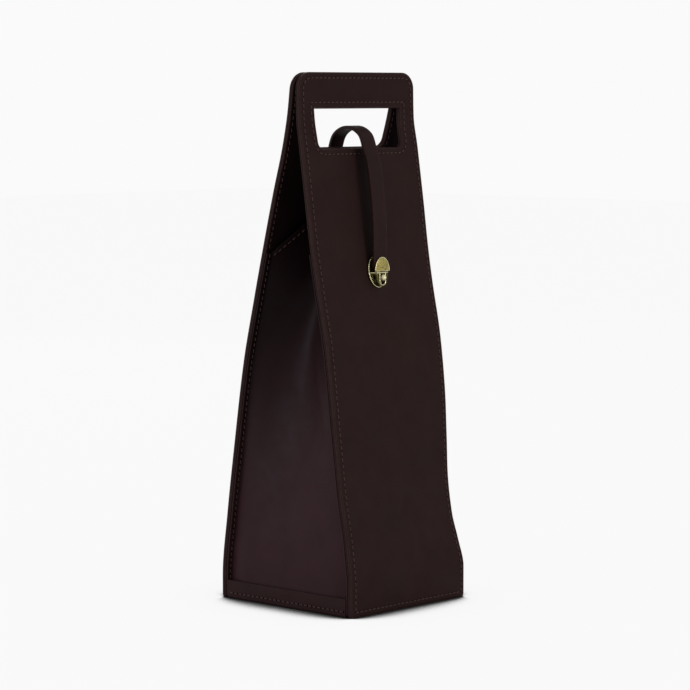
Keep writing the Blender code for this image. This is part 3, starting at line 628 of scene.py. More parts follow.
def brass(name, dark, middle, light, rough, smooth):
    """Aged brass, mottled from dark stains to worn high points."""
    nodes = new_material(name)
    stains = nodes.noise(900.0, 5.0, 0.65)
    grains = nodes.noise(3800.0, 3.0, 0.6)
    mixed = nodes.sum_of(nodes.grey(stains, 0.0, 0.8, 0.32, 0.68), nodes.grey(grains, 0.0, 0.2, 0.3, 0.7))
    colour = nodes.ramp(mixed, (0.0, dark), (0.45, middle), (1.0, light))
    return nodes.surface(Base_Color=colour, Metallic=1.0, Roughness=nodes.grey(mixed, rough, smooth),
                         Normal=nodes.bump(stains, BRASS_BUMP, 0.5))


def spring_steel():
    nodes = new_material("spring_steel")
    marks = nodes.noise(3000.0, 2.0, 0.5)
    colour = nodes.ramp(marks, (0.3, (0.34, 0.34, 0.33)), (0.7, (0.50, 0.50, 0.48)))
    return nodes.surface(Base_Color=colour, Metallic=1.0, Roughness=nodes.grey(marks, 0.22, 0.36))


def fibre_board():
    nodes = new_material("fibre_board")
    fibres = nodes.noise(700.0, 6.0, 0.7)
    colour = nodes.ramp(fibres, (0.3, (0.12, 0.075, 0.040)), (0.7, (0.24, 0.165, 0.100)))
    return nodes.surface(Base_Color=colour, Roughness=0.88, Normal=nodes.bump(fibres, FIBRE_BUMP, 0.5))


# Walls


def bridge(bm, first, second, material):
    count = len(first)
    for index in range(count):
        after = (index + 1) % count
        face = bm.faces.new((first[index], first[after], second[after], second[index]))
        face.material_index = material


def swept(bm, rings):
    """Closed skin over rings of points, one after the other."""
    rings = [[bm.verts.new(point) for point in ring] for ring in rings]
    for first, second in zip(rings, rings[1:]):
        bridge(bm, first, second, 0)
    bm.faces.new(reversed(rings[0]))
    bm.faces.new(rings[-1])


def ring_edges(bm, ring):
    return [bm.edges.get((ring[index - 1], ring[index])) for index in range(len(ring))]


def profiled_rings(bm, outline_at, profile):
    """Rings that follow an outline through a cross-section; edge faces get the second material."""
    rings = [[bm.verts.new((x, y, depth)) for x, y in outline_at(inset)] for inset, depth in profile]
    for index in range(len(rings) - 1):
        on_edge = max(profile[index][0], profile[index + 1][0]) <= EDGE_INSET
        bridge(bm, rings[index], rings[index + 1], 1 if on_edge else 0)
    return rings[0], rings[-1]


def build_wall_layer(name, wall, wall_profile, slot_profile, materials):
    """One layer of a wall with its shaped edge, its handle slot and the seam's channel."""
    bm = bmesh.new()
    outer_rings = profiled_rings(bm, wall_outline, wall_profile)
    slot_rings = profiled_rings(bm, partial(slot_outline, wall.slot), slot_profile)
    for outer, slot in zip(outer_rings, slot_rings):
        bmesh.ops.triangle_fill(bm, use_beauty=True, edges=ring_edges(bm, outer) + ring_edges(bm, slot))
    bmesh.ops.recalc_face_normals(bm, faces=bm.faces)
    slice_mesh(bm, spread(-BODY_WIDTH / 2, BODY_WIDTH / 2, int(BODY_WIDTH / WALL_COLUMN_STEP)),
               spread(0, BODY_HEIGHT, int(BODY_HEIGHT / WALL_ROW_STEP)))
    for vertex in bm.verts:
        vertex.co = wall.place(*vertex.co)
    face_outward(bm)
    piece = new_piece(name, bm, materials)
    shade_smooth(piece)
    return piece


def with_pocket(profile, inset):
    """The outer leather's cross-section, hollowed behind for the stiffening board."""
    return profile + ((inset, RIM_DEPTH), (inset, LEATHER_DEPTH))


def directions(points):
    """Direction of a line of points at each of them."""
    behind = points[:1] + points[:-1]
    ahead = points[1:] + points[-1:]
    return [(after - before).normalized() for before, after in zip(behind, ahead)]


def tube(bm, points, radius, normals):
    """Round thread through points; normals turn its section."""
    turns = spread(0, math.tau, THREAD_SIDES)[:-1]
    rings = []
    for point, along, normal in zip(points, directions(points), normals):
        side = along.cross(normal).normalized()
        up = side.cross(along)
        rings.append([point + (side * math.cos(turn) + up * math.sin(turn)) * radius for turn in turns])
    swept(bm, rings)


def needle_hole(bm, place, out, across):
    """Small dark plug, drawn oval along the seam, where the thread goes down; its near black colour is
    painted shade of the hole.
    """
    along = out.cross(across)
    ring = []
    for turn in spread(0, math.tau, HOLE_SIDES)[:-1]:
        offset = along * HOLE_LENGTH / 2 * math.cos(turn) + across * HOLE_WIDTH / 2 * math.sin(turn)
        ring.append(bm.verts.new(place + offset))
    for rise in (HOLE_PROUD, -STITCH_SINK):
        tip = bm.verts.new(place + out * rise)
        for first, second in zip(ring, ring[1:] + ring[:1]):
            bm.faces.new((first, second, tip)).material_index = 1


def stitches(name, runs, finish):
    """Stitches along runs; each run gives the surface's place and outward direction at a length
    along it, and its whole length."""
    bm = bmesh.new()
    for surface_at, length in runs:
        count = max(round(length / STITCH_PITCH), 1)
        pitch = length / count
        for index in range(count):
            start = pitch * index + (pitch - STITCH_LENGTH) / 2
            points = []
            normals = []
            for share in spread(0, 1, STITCH_SEGMENTS):
                point, out, across = surface_at(start + STITCH_LENGTH * share)
                rise = STITCH_RISE * math.sqrt(math.sin(math.pi * share)) - STITCH_SINK
                points.append(point + out * rise + across * STITCH_SLANT * (2 * share - 1))
                normals.append(out)
            tube(bm, points, THREAD_RADIUS, normals)
            needle_hole(bm, *surface_at(pitch * index))
    bmesh.ops.recalc_face_normals(bm, faces=bm.faces)
    piece = new_piece(name, bm, [finish["thread"], finish["hole"]])
    shade_smooth(piece)
    return piece


def along_path(path):
    """Gives the place on a path at a length along it, with the path's direction there, and the
    path's whole length."""
    places = [Vector(place) for place in path]
    lengths = [0.0]
    for first, second in zip(places, places[1:]):
        lengths.append(lengths[-1] + (second - first).length)

    def at(length):
        index, share = stretch_at(lengths, length)
        along = places[index + 1] - places[index]
        return places[index] + along * share, along.normalized()

    return at, lengths[-1]


def wall_run(wall, path, depth, outward_sign):
    """Run of stitches on a wall along a flat path, on its outer or its inner face."""
    at, length = along_path(path)

    def surface_at(place):
        here = at(place)[0]
        point = wall.place(*here, depth)
        out = (point - wall.place(*here, depth + outward_sign * THREAD_RADIUS)).normalized()
        along = wall.place(*at(place + THREAD_RADIUS)[0], depth) - point
        if along.length < WELD_DISTANCE:
            along = Vector((0, 0, 1))
        return point, out, out.cross(along).normalized()

    return surface_at, length


def closed(path):
    return path + path[:1]


def wall_seam_paths(slot):
    """Flat paths of the wall's seams: round its edge, and round the slot."""
    return [closed(wall_outline(SEAM_INSET)), closed(slot_outline(slot, SEAM_INSET))]


def inner_seam_paths(slot):
    """Flat paths of the seams that show inside, above the gussets."""
    half = BODY_WIDTH / 2 - INNER_SEAM_INSET
    low = GUSSET_SEAM_HEIGHT + STITCH_PITCH / 2
    arch = [(half, low)] + wall_arch(INNER_SEAM_INSET) + [(-half, low)]
    return [arch, closed(slot_outline(slot, INNER_SEAM_INSET))]


def flange_seam_paths():
    """Flat paths of the seams through the gussets' flanges."""
    half = BODY_WIDTH / 2 - INNER_SEAM_INSET
    return [[(side * half, BAND_STITCH_HEIGHT), (side * half, GUSSET_SEAM_HEIGHT)] for side in (-1, 1)]


def build_wall(side_name, wall, body, finish):
    outer_profile = with_pocket(OUTER_PROFILE, POCKET_INSET)
    slot_profile = with_pocket(OUTER_PROFILE, POCKET_GROW)
    outer = build_wall_layer(side_name + "_wall_leather", wall, outer_profile, slot_profile,
                             [finish["leather"], finish["edge"]])
    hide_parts(side_name + "_outer_leather")
    lining = build_wall_layer(side_name + "_wall_lining", wall, LINING_PROFILE, LINING_PROFILE,
                              [finish["lining"], finish["edge"]])
    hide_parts(side_name + "_lining")
    outer_runs = [wall_run(wall, path, SEAM_SINK, 1) for path in wall_seam_paths(wall.slot)]
    outer_seam = stitches(side_name + "_wall_stitching", outer_runs, finish)
    inner_paths = inner_seam_paths(wall.slot)
    inner_runs = [wall_run(wall, path, WALL_THICKNESS - SEAM_SINK, -1) for path in inner_paths]
    flange_face = WALL_THICKNESS + TOUCH_GAP + GUSSET_LEATHER
    inner_runs += [wall_run(wall, path, flange_face, -1) for path in flange_seam_paths()]
    inner_seam = stitches(side_name + "_inner_stitching", inner_runs, finish)
    for piece in (outer, lining, outer_seam, inner_seam):
        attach(piece, body)


# Gussets


def clamped(share):
    return min(max(share, 0.0), 1.0)


def gusset_fold_depth(height):
    share = (height - GUSSET_FOLD_START) / (GUSSET_SEAM_HEIGHT - GUSSET_FOLD_START)
    return GUSSET_FOLD_DEPTH * clamped(share) ** FOLD_GROWTH


def gusset_swell(height):
    """How far the gusset stands out between its seams: at the base, out to the side bands."""
    fullest = GUSSET_SEAM_INSET - BASE_LEATHER - TOUCH_GAP - GUSSET_LEATHER / 2
    return fullest * (1 - clamped((height - BAND_HEIGHT) / (GUSSET_SEAM_HEIGHT - BAND_HEIGHT)))


def fold_share(across, climb):
    """0 at the seams, 1 at the middle fold: rounded low down, sharper near the top."""
    soft = SOFTNESS_AT_BASE + (SOFTNESS_AT_TOP - SOFTNESS_AT_BASE) * climb
    reach = math.sqrt(across ** 2 + soft ** 2) - soft
    return 1 - reach / (math.sqrt(1 + soft ** 2) - soft)


def crease(across, climb):
    """Soft slanting wrinkles of the hanging leather."""
    height = GUSSET_SEAM_HEIGHT * climb
    total = 0.0
    for middle, offset, depth, reach, slant in CREASES:
        away = (height - middle) - slant * (across - offset) * BODY_DEPTH / 2
        near = math.exp(-(away / reach) ** 2) * math.exp(-((across - offset) / CREASE_REACH_SHARE) ** 2)
        total += depth * near
    return total * (1 - across ** 4)


def gusset_point(side, across, seam_height, proud=0.0):
    """Middle of the gusset's leather: across runs from -1 at the front wall through the fold to 1
    at the back wall; proud moves it outward."""
    climb = (seam_height - GUSSET_FIRST_HEIGHT) / (GUSSET_SEAM_HEIGHT - GUSSET_FIRST_HEIGHT)
    folded = fold_share(across, climb)
    height = seam_height + GUSSET_PEAK_RISE * climb * folded
    corner_x = BODY_WIDTH / 2 - GUSSET_SEAM_INSET
    inside = WALL_THICKNESS + TOUCH_GAP + GUSSET_LEATHER / 2
    front = FRONT.place(side * corner_x, height, inside)
    back = BACK.place(side * corner_x, height, inside)
    middle = front.lerp(back, (across + 1) / 2)
    fullness = math.sin(math.pi / 2 * min((1 - abs(across)) / SWELL_SPREAD_SHARE, 1.0))
    swell = gusset_swell(height) * fullness
    middle.x = side * (corner_x + swell - gusset_fold_depth(height) * folded + crease(across, climb) + proud)
    return middle


def seam_turn(side, wall, seam_height):
    """Flange on the wall's lining and its rounded turn into the gusset, from the wall's edge in."""
    inside = WALL_THICKNESS + TOUCH_GAP + GUSSET_LEATHER / 2
    corner_x = BODY_WIDTH / 2 - GUSSET_SEAM_INSET
    edge, start, corner = [wall.place(side * x, seam_height, inside)
                           for x in (BODY_WIDTH / 2 - TOUCH_GAP, corner_x + SEAM_TURN_RADIUS, corner_x)]
    leaving = gusset_point(side, wall.side * (1 - 2 / GUSSET_COLUMNS), seam_height)
    end = corner + (leaving - corner).normalized() * SEAM_TURN_RADIUS
    turn = [start.lerp(corner, share).lerp(corner.lerp(end, share), share)
            for share in spread(0, 1, SEAM_TURN_STEPS)[1:]]
    return [edge, start] + turn


def gusset_line(side, seam_height, proud, with_flanges):
    """Points across the gusset's leather at one height, with its sewn flanges where it has them."""
    panel = [gusset_point(side, across, seam_height, proud)
             for across in spread(-1, 1, GUSSET_COLUMNS)[2:-2]]
    if not with_flanges:
        return panel
    return seam_turn(side, FRONT, seam_height) + panel + seam_turn(side, BACK, seam_height)[::-1]


def round_edges(piece, width, angle):
    rounding = piece.modifiers.new("rounding", "BEVEL")
    rounding.width = width
    rounding.segments = 2
    rounding.angle_limit = angle
    applied(piece)


def gusset_sheet(name, side, rows, proud, thickness, with_flanges, material):
    bm = bmesh.new()
    grid = []
    for seam_height in rows:
        line = gusset_line(side, seam_height, proud, with_flanges)
        grid.append([bm.verts.new(point) for point in line])
    for low, high in zip(grid, grid[1:]):
        for index in range(len(low) - 1):
            bm.faces.new((low[index], low[index + 1], high[index + 1], high[index]))
    bmesh.ops.recalc_face_normals(bm, faces=bm.faces)
    piece = new_piece(name, bm, [material])
    shell = piece.modifiers.new("thickness", "SOLIDIFY")
    shell.thickness = thickness
    shell.offset = 0
    round_edges(piece, thickness / 4, SHEET_ANGLE)
    shade_smooth(piece)
    return piece


def hem_run(side):
    """Stitches along the gusset's hem, over its outer face."""
    row = GUSSET_SEAM_HEIGHT - HEM_STITCH_DROP
    proud = GUSSET_LEATHER / 2 + HEM_PROUD
    edge = 1 - 3 / GUSSET_COLUMNS
    at, whole = along_path([gusset_point(side, share, row, proud)
                            for share in spread(-edge, edge, HEM_SAMPLES)])

    def surface_at(length):
        point, along = at(length)
        out = along.cross(Vector((0, 0, 1))).normalized()
        if out.x * side < 0:
            out = -out
        return point, out, out.cross(along).normalized()

    return surface_at, whole


def blend_with_front(piece):
    """Bakes the piece's placement into its mesh. It works out the front wall's inward direction and the
    depth across to the back wall, which are not used.
    """
    low = FRONT.place(0, GUSSET_FIRST_HEIGHT, WALL_THICKNESS)
    high = FRONT.place(0, GUSSET_SEAM_HEIGHT, WALL_THICKNESS)
    inward = Vector((1, 0, 0)).cross(high - low).normalized()
    if inward.y < 0:
        inward = -inward
    across = (BACK.place(0, GUSSET_SEAM_HEIGHT, WALL_THICKNESS) - high).dot(inward)
    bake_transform(piece)


def build_gusset(side_name, side, finish):
    rows = spread(GUSSET_FIRST_HEIGHT, GUSSET_SEAM_HEIGHT, GUSSET_ROWS)
    sheet = gusset_sheet(side_name + "_gusset_leather", side, rows, 0.0, GUSSET_LEATHER, True,
                         finish["gusset"])
    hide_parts(side_name + "_gusset_front_half", side_name + "_gusset_back_half")
    hem_rows = spread(GUSSET_SEAM_HEIGHT - HEM_HEIGHT, GUSSET_SEAM_HEIGHT, HEM_STEPS)
    hem = gusset_sheet(side_name + "_gusset_hem", side, hem_rows, GUSSET_LEATHER / 2 + HEM_PROUD / 2,
                       HEM_PROUD, False, finish["gusset"])
    seam = stitches(side_name + "_gusset_stitching", [hem_run(side)], finish)
    for piece in (sheet, hem, seam):
        blend_with_front(piece)


# Base


def tray_section():
    """Outline of the tray across its width, with soft outer corners and rounded top edges."""
    half = BODY_WIDTH / 2
    inner = half - BASE_LEATHER
    top = BAND_HEIGHT - BASE_EDGE
    outer = [(-half, top)] + low_corners(half, 0, BASE_CORNER, CORNER_TURN_STEPS)
    outer += arc((half - BASE_EDGE, top), BASE_EDGE, 0, 90, EDGE_STEPS)
    outer += arc((inner + BASE_EDGE, top), BASE_EDGE, 90, 180, EDGE_STEPS)
    outer += [(inner, BASE_LEATHER), (-inner, BASE_LEATHER)]
    outer += arc((-inner - BASE_EDGE, top), BASE_EDGE, 0, 90, EDGE_STEPS)
    outer += arc((BASE_EDGE - half, top), BASE_EDGE, 90, 170, EDGE_STEPS)
    return outer


def build_base(finish):
    bm = bmesh.new()
    half_band = BASE_HALF_DEPTH - GUSSET_LEATHER - TOUCH_GAP
    swept(bm, [[(x, y, z) for x, z in tray_section()] for y in spread(-half_band, half_band, BASE_SEGMENTS)])
    for way in (-1, 1):
        strip = bmesh.ops.create_cube(bm, size=1)["verts"]
        bmesh.ops.scale(bm, vec=(FLANGE_WIDTH, BASE_LEATHER, FLANGE_HEIGHT - BASE_LEATHER), verts=strip)
        middle = (0, way * (BASE_HALF_DEPTH - BASE_LEATHER / 2), (FLANGE_HEIGHT + BASE_LEATHER) / 2)
        bmesh.ops.translate(bm, vec=middle, verts=strip)
        edges = {edge for vertex in strip for edge in vertex.link_edges}
        bmesh.ops.bevel(bm, geom=list(edges), offset=BASE_EDGE, segments=2, affect="EDGES")
    bmesh.ops.recalc_face_normals(bm, faces=bm.faces)
    tray = new_piece("base_tray_leather", bm, [finish["band"]])
    shade_by_angle(tray)
    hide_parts("base_outer_leather")
    seam = stitches("base_stitching", [band_run(side) for side in (-1, 1)], finish)
    for piece in (tray, seam):
        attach(piece, "root")


def band_run(side):
    half = BASE_HALF_DEPTH - GUSSET_LEATHER - STITCH_PITCH / 2
    out = Vector((side, 0, 0))

    def surface_at(length):
        point = Vector((side * BODY_WIDTH / 2, side * (half - length), BAND_STITCH_HEIGHT))
        return point, out, Vector((0, 0, 1))

    return surface_at, 2 * half


def shade_by_angle(piece, angle=CORNER_ANGLE):
    shade_smooth(piece)
    with mesh_of(piece) as bm:
        for edge in bm.edges:
            edge.smooth = len(edge.link_faces) == 2 and edge.calc_face_angle() < angle


# Strap


def lock_matrix():
    """Frame on the lock plate's face: across, up along the wall, out from the wall."""
    origin = FRONT.place(0, LOCK_HEIGHT, -TOUCH_GAP - LOCK_PLATE)
    above = FRONT.place(0, LOCK_HEIGHT + SLOPE_STEP, 0)
    below = FRONT.place(0, LOCK_HEIGHT - SLOPE_STEP, 0)
    across = Vector((1, 0, 0))
    up = (above - below).normalized()
    out = across.cross(up)
    frame = Matrix((across, up, out)).transposed().to_4x4()
    frame.translation = origin
    return frame


def face_matrix():
    return lock_matrix() @ Matrix.Rotation(LOCK_FACE_TILT, 4, "X")


def strap_guides():
    """Places that the middle of the strap passes through, from its sewn end to the lock."""
    guides = []
    for height in spread(STRAP_SEWN_LOW, STRAP_LEAVES_WALL, 2):
        guides.append(BACK.place(0, height, -TOUCH_GAP - STRAP_THICKNESS / 2))
    back_leg = BACK.place(0, STRAP_LEG_HEIGHT, -STRAP_BACK_STANDOFF)
    front_leg = FRONT.place(0, STRAP_LEG_HEIGHT, -STRAP_FRONT_STANDOFF)
    radius = (back_leg.y - front_leg.y) / 2
    guides.append(back_leg)
    for x, rise in arc((0, 0), 1, 45, 135, 2):
        forward = (back_leg.y + front_leg.y) / 2 + radius * x
        guides.append(Vector((0, forward, STRAP_LEG_HEIGHT + STRAP_ARCH_RISE * rise)))
    guides.append(front_leg)
    for share, standoff_share in STRAP_HANG_SHARES:
        height = STRAP_LEG_HEIGHT + (LOCK_HEIGHT - STRAP_LEG_HEIGHT) * share
        guides.append(FRONT.place(0, height, -STRAP_HANG_STANDOFF * standoff_share))
    for rise in (CATCH_RISE + STRAP_THICKNESS, STRAP_END_RISE):
        guides.append(face_matrix() @ Vector((0, rise, STRAP_MIDDLE_OUT)))
    return guides


def strap_route():
    """Smooth route through the guides, with the last run straight inside the catch."""
    guides = strap_guides()
    route = [guides[0]]
    for before, start, end, after in zip(guides[:1] + guides, guides, guides[1:], guides[2:]):
        span = (end - start).length
        leave = (end - before).normalized() * span
        arrive = (after - start).normalized() * span
        route += [eased(start, end, leave, arrive, share) for share in spread(0, 1, STRAP_STEPS)[1:]]
    return route + guides[-1:]


def split_route(route):
    apex = max(range(len(route)), key=lambda index: route[index].z)
    index = next(step for step in range(apex, len(route)) if route[step].z < STRAP_BEND_HEIGHT)
    above = route[index - 1]
    below = route[index]
    bend = above.lerp(below, (above.z - STRAP_BEND_HEIGHT) / (above.z - below.z))
    return route[:index] + [bend], [bend] + route[index:], bend


def strap_section():
    """Flat strap's cross-section as (across, out) with rounded edges."""
    half = STRAP_WIDTH / 2 - STRAP_EDGE
    thick = STRAP_THICKNESS / 2 - STRAP_EDGE
    points = []
    for way in (1, -1):
        turn = 90 - 90 * way
        points += arc((way * half, way * thick), STRAP_EDGE, turn, turn + 90, EDGE_STEPS)
        points += [(half * share * way, STRAP_THICKNESS / 2 * way) for share in STRAP_FACE_SHARES]
        points += arc((-way * half, way * thick), STRAP_EDGE, turn + 90, turn + 180, EDGE_STEPS)
    return points


def strap_piece(name, route, finish):
    bm = bmesh.new()
    section = strap_section()
    rings = []
    for point, along in zip(route, directions(route)):
        out = along.cross(Vector((1, 0, 0))).normalized()
        rings.append([point + Vector((x, 0, 0)) + out * rise for x, rise in section])
    swept(bm, rings)
    bmesh.ops.recalc_face_normals(bm, faces=bm.faces)
    edge = STRAP_WIDTH / 2 - STRAP_EDGE / 2
    for face in bm.faces:
        if abs(face.calc_center_median().x) > edge:
            face.material_index = 1
    piece = new_piece(name, bm, [finish["strap"], finish["edge"]])
    shade_by_angle(piece, ROUNDED_ANGLE)
    return piece


def sewn_end_run():
    """Box of stitches that holds the strap's end on the back wall."""
    half = STRAP_WIDTH / 2 - STRAP_STITCH_INSET
    low = STRAP_SEWN_LOW + STRAP_STITCH_INSET
    high = STRAP_LEAVES_WALL - STRAP_STITCH_INSET
    middle = low + 2 * half
    box = [(-half, low), (half, low), (half, high), (-half, high), (-half, low)]
    bar = [(STITCH_PITCH / 2 - half, middle), (half - STITCH_PITCH / 2, middle)]
    depth = -TOUCH_GAP - STRAP_THICKNESS
    return [wall_run(BACK, path, depth, 1) for path in (box, bar)]


def build_strap(finish):
    sewn_route, free_route, bend = split_route(strap_route())
    sewn = strap_piece("strap_sewn_leather", sewn_route, finish)
    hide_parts("strap_sewn_end")
    back_leg = BACK.place(0, STRAP_LEG_HEIGHT, -STRAP_BACK_STANDOFF)
    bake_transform(sewn)
    free = strap_piece("strap_free_leather", free_route, finish)
    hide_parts("strap_free_end")
    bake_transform(free)
    box = stitches("strap_stitching", sewn_end_run(), finish)
    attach(box, "root")


# Lock


def oval(width, height):
    turns = spread(0, math.tau, 2 * OVAL_STEPS)[:-1]
    return [(math.cos(turn) * width / 2, math.sin(turn) * height / 2) for turn in turns]


def half_oval(width, rise, start, way):
    return [(math.cos(turn) * width / 2, way * (start + math.sin(turn) * rise))
            for turn in spread(0, math.pi, OVAL_STEPS)]


def from_curve(curve, path, cyclic, material):
    """Mesh of a curve with one run of points."""
    spline = curve.splines.new("POLY")
    spline.points.add(len(path) - 1)
    for point, place in zip(spline.points, path):
        point.co = (*place, 1)
    spline.use_cyclic_u = cyclic
    curve.materials.append(material)
    return applied(new_object(curve.name, curve))


def plate(name, outline, low, high, rounding, material):
    """Flat plate between two levels with rounded edges."""
    curve = bpy.data.curves.new(name, "CURVE")
    curve.dimensions = "2D"
    curve.fill_mode = "BOTH"
    curve.extrude = (high - low) / 2 - rounding
    curve.bevel_depth = rounding
    curve.bevel_resolution = BEAD_ROUNDING
    curve.offset = -rounding
    piece = from_curve(curve, [(x, y, 0) for x, y in outline], True, material)
    with mesh_of(piece) as bm:
        bmesh.ops.remove_doubles(bm, verts=bm.verts, dist=WELD_DISTANCE)
        bmesh.ops.translate(bm, verts=bm.verts, vec=(0, 0, (low + high) / 2))
        face_outward(bm)
    return piece


def box_cutter(low, high):
    bm = bmesh.new()
    bmesh.ops.create_cube(bm, size=1)
    bmesh.ops.scale(bm, vec=Vector(high) - Vector(low), verts=bm.verts)
    bmesh.ops.translate(bm, vec=(Vector(high) + Vector(low)) / 2, verts=bm.verts)
    return new_piece("cutter", bm, [])


def cut(piece, helpers):
    for helper in helpers:
        change = piece.modifiers.new("cut", "BOOLEAN")
        change.operation = "DIFFERENCE"
        change.solver = "EXACT"
        change.object = helper
    applied(piece)
    for helper in helpers:
        bpy.data.objects.remove(helper)


def soften(piece, width):
    round_edges(piece, width, SOFTENED_ANGLE)
    shade_by_angle(piece, ROUNDED_ANGLE)


def bead(name, path, radius, material, cyclic, rounding=BEAD_ROUNDING):
    """Round bead that follows a path of points."""
    curve = bpy.data.curves.new(name, "CURVE")
    curve.dimensions = "3D"
    curve.bevel_depth = radius
    curve.bevel_resolution = rounding
    curve.use_fill_caps = True
    piece = from_curve(curve, path, cyclic, material)
    shade_smooth(piece)
    return piece


def build_lock_plate(finish):
    """Oval base plate laid on the bent wall, dark in the middle, with a bright rolled rim."""
    outline = oval(LOCK_PLATE_WIDTH, LOCK_PLATE_HEIGHT)
    piece = plate("lock_oval_plate", outline, 0, LOCK_PLATE, LOCK_EDGE, finish["case"])
    with mesh_of(piece) as bm:
        for vertex in bm.verts:
            x, y, out = vertex.co
            vertex.co = FRONT.place(x, LOCK_HEIGHT + y, -TOUCH_GAP - out)
        face_outward(bm)
    shade_by_angle(piece, ROUNDED_ANGLE)
    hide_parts("lock_base_plate")
    rim_outline = oval(LOCK_PLATE_WIDTH - 2 * RIM_BEAD_RADIUS, LOCK_PLATE_HEIGHT - 2 * RIM_BEAD_RADIUS)
    path = [FRONT.place(x, LOCK_HEIGHT + y, -TOUCH_GAP - LOCK_PLATE) for x, y in rim_outline]
    rim = bead("lock_plate_rim", path, RIM_BEAD_RADIUS, finish["rim"], True)
    for made in (piece, rim):
        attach(made, "front_wall")


def knob_slot_outline(grow):
    half = KNOB_SLOT_HALF + grow
    high = -HOUSING_SLOT_HIGH + grow
    points = [(half, high), (-half, high)]
    points += arc((0, KNOB_SLOT_HALF - KNOB_SLOT_DROP), half, 180, 360, KNOB_SLOT_STEPS)
    return points


def side_recess_outline(way):
    """Hollow in the case's face, between the knob's slot and the case's edge."""
    inner = way * (KNOB_SLOT_HALF + 2 * SLOT_BEAD_RADIUS)
    high = -RIDGE_DROP - RIDGE_RADIUS
    width = HOUSING_WIDTH / 2 - RECESS_MARGIN
    drop = HOUSING_DROP - RECESS_MARGIN
    points = [(inner, high), (way * width * math.sqrt(1 - (high / drop) ** 2), high)]
    for turn in spread(0, math.pi / 2, OVAL_STEPS):
        x = way * width * math.cos(turn)
        y = -drop * math.sin(turn)
        if y < high and abs(x) > abs(inner):
            points.append((x, y))
    points.append((inner, -drop * math.sqrt(1 - (inner / width) ** 2)))
    return points if way < 0 else points[::-1]


def sloped(x, out):
    """The case's sides slope in towards its front, outside the ring round the knob's slot."""
    straight = KNOB_SLOT_HALF + 2 * SLOT_BEAD_RADIUS
    rest = abs(x) - straight
    if rest <= 0 or out <= 0:
        return x
    return math.copysign(straight + rest * (1 - CASE_SLOPE_SHARE * out / HOUSING_FRONT), x)


def build_housing(finish):
    """Case of the lock: hollow, open at the top for the nose, with side windows and a knob slot."""
    piece = plate("lock_case", half_oval(HOUSING_WIDTH, HOUSING_DROP, 0, -1), -CUT_OVERRUN,
                  HOUSING_FRONT, LOCK_EDGE, finish["case"])
    inside = half_oval(HOUSING_WIDTH - 2 * HOUSING_WALL, HOUSING_DROP - 2 * HOUSING_WALL, HOUSING_WALL, -1)
    cutters = [plate("cavity", inside, -2 * CUT_OVERRUN, HOUSING_FRONT - HOUSING_WALL, LOCK_EDGE,
                     finish["patina"])]
    hollows = [(knob_slot_outline(0.0), 2 * HOUSING_WALL)]
    hollows += [(side_recess_outline(way), RECESS_DEPTH) for way in (-1, 1)]
    for outline, depth in hollows:
        cutters.append(plate("hollow", outline, HOUSING_FRONT - depth, HOUSING_FRONT + CUT_OVERRUN,
                             TOUCH_GAP / 4, finish["patina"]))
    cutters.append(box_cutter((-HOUSING_WIDTH, -WINDOW_LOW, WINDOW_BACK),
                              (HOUSING_WIDTH, -WINDOW_HIGH, WINDOW_FRONT)))
    nose_half = NOSE_WIDTH / 2 + TOUCH_GAP
    cutters.append(box_cutter((-nose_half, -2 * HOUSING_WALL, SLIDER_BACK - TOUCH_GAP),
                              (nose_half, CUT_OVERRUN, SLIDER_BACK + SLIDER_THICKNESS + TOUCH_GAP)))
    below_plate = box_cutter((-HOUSING_WIDTH, -2 * HOUSING_DROP, -HOUSING_WIDTH),
                             (HOUSING_WIDTH, 2 * HOUSING_DROP, 0))
    untilt = Matrix.Rotation(-LOCK_FACE_TILT, 4, "X")
    below_plate.data.transform(untilt @ Matrix.Translation((0, 0, TOUCH_GAP)))
    cut(piece, cutters + [below_plate])
    soften(piece, TOUCH_GAP / 3)
    for vertex in piece.data.vertices:
        vertex.co.x = sloped(vertex.co.x, vertex.co.z)
    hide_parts("lock_housing")
    slot_path = [(x, y, HOUSING_FRONT) for x, y in knob_slot_outline(SLOT_BEAD_RADIUS)][1:]
    slot_path.append((KNOB_SLOT_HALF + SLOT_BEAD_RADIUS, slot_path[0][1], HOUSING_FRONT))
    ring = bead("lock_slot_ring", slot_path, SLOT_BEAD_RADIUS, finish["rim"], False)
    ridge = bead("lock_case_ridge", ridge_path(), RIDGE_RADIUS, finish["rim"], False)
    for made in (piece, ring, ridge):
        made.matrix_world = face_matrix()
        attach(made, "front_wall")


def ridge_path():
    """Rounded ridge along the top of the case, from the plate round the sides and across the front."""
    half = HOUSING_WIDTH / 2
    front = HOUSING_FRONT
    turn = RIDGE_TURN_RADIUS
    inner = sloped(half, front)
    plan = [(-half, RIDGE_START_OUT)]
    plan += arc((turn - inner, front - turn), turn, 150, 90, CORNER_TURN_STEPS)
    plan += arc((inner - turn, front - turn), turn, 90, 30, CORNER_TURN_STEPS)
    plan.append((half, RIDGE_START_OUT))
    return [(x, -RIDGE_DROP, out) for x, out in plan]


def turned(name, profile, material):
    """Round piece turned about the outward axis from its profile."""
    bm = bmesh.new()
    points = [bm.verts.new(point) for point in profile]
    for first, second in zip(points, points[1:]):
        bm.edges.new((first, second))
    piece = new_piece(name, bm, [material])
    turn = piece.modifiers.new("turn", "SCREW")
    turn.steps = TURN_STEPS
    turn.render_steps = TURN_STEPS
    turn.use_merge_vertices = True
    turn.merge_threshold = WELD_DISTANCE
    applied(piece)
    with mesh_of(piece) as bm:
        face_outward(bm)
    shade_by_angle(piece, ROUNDED_ANGLE)
    return piece


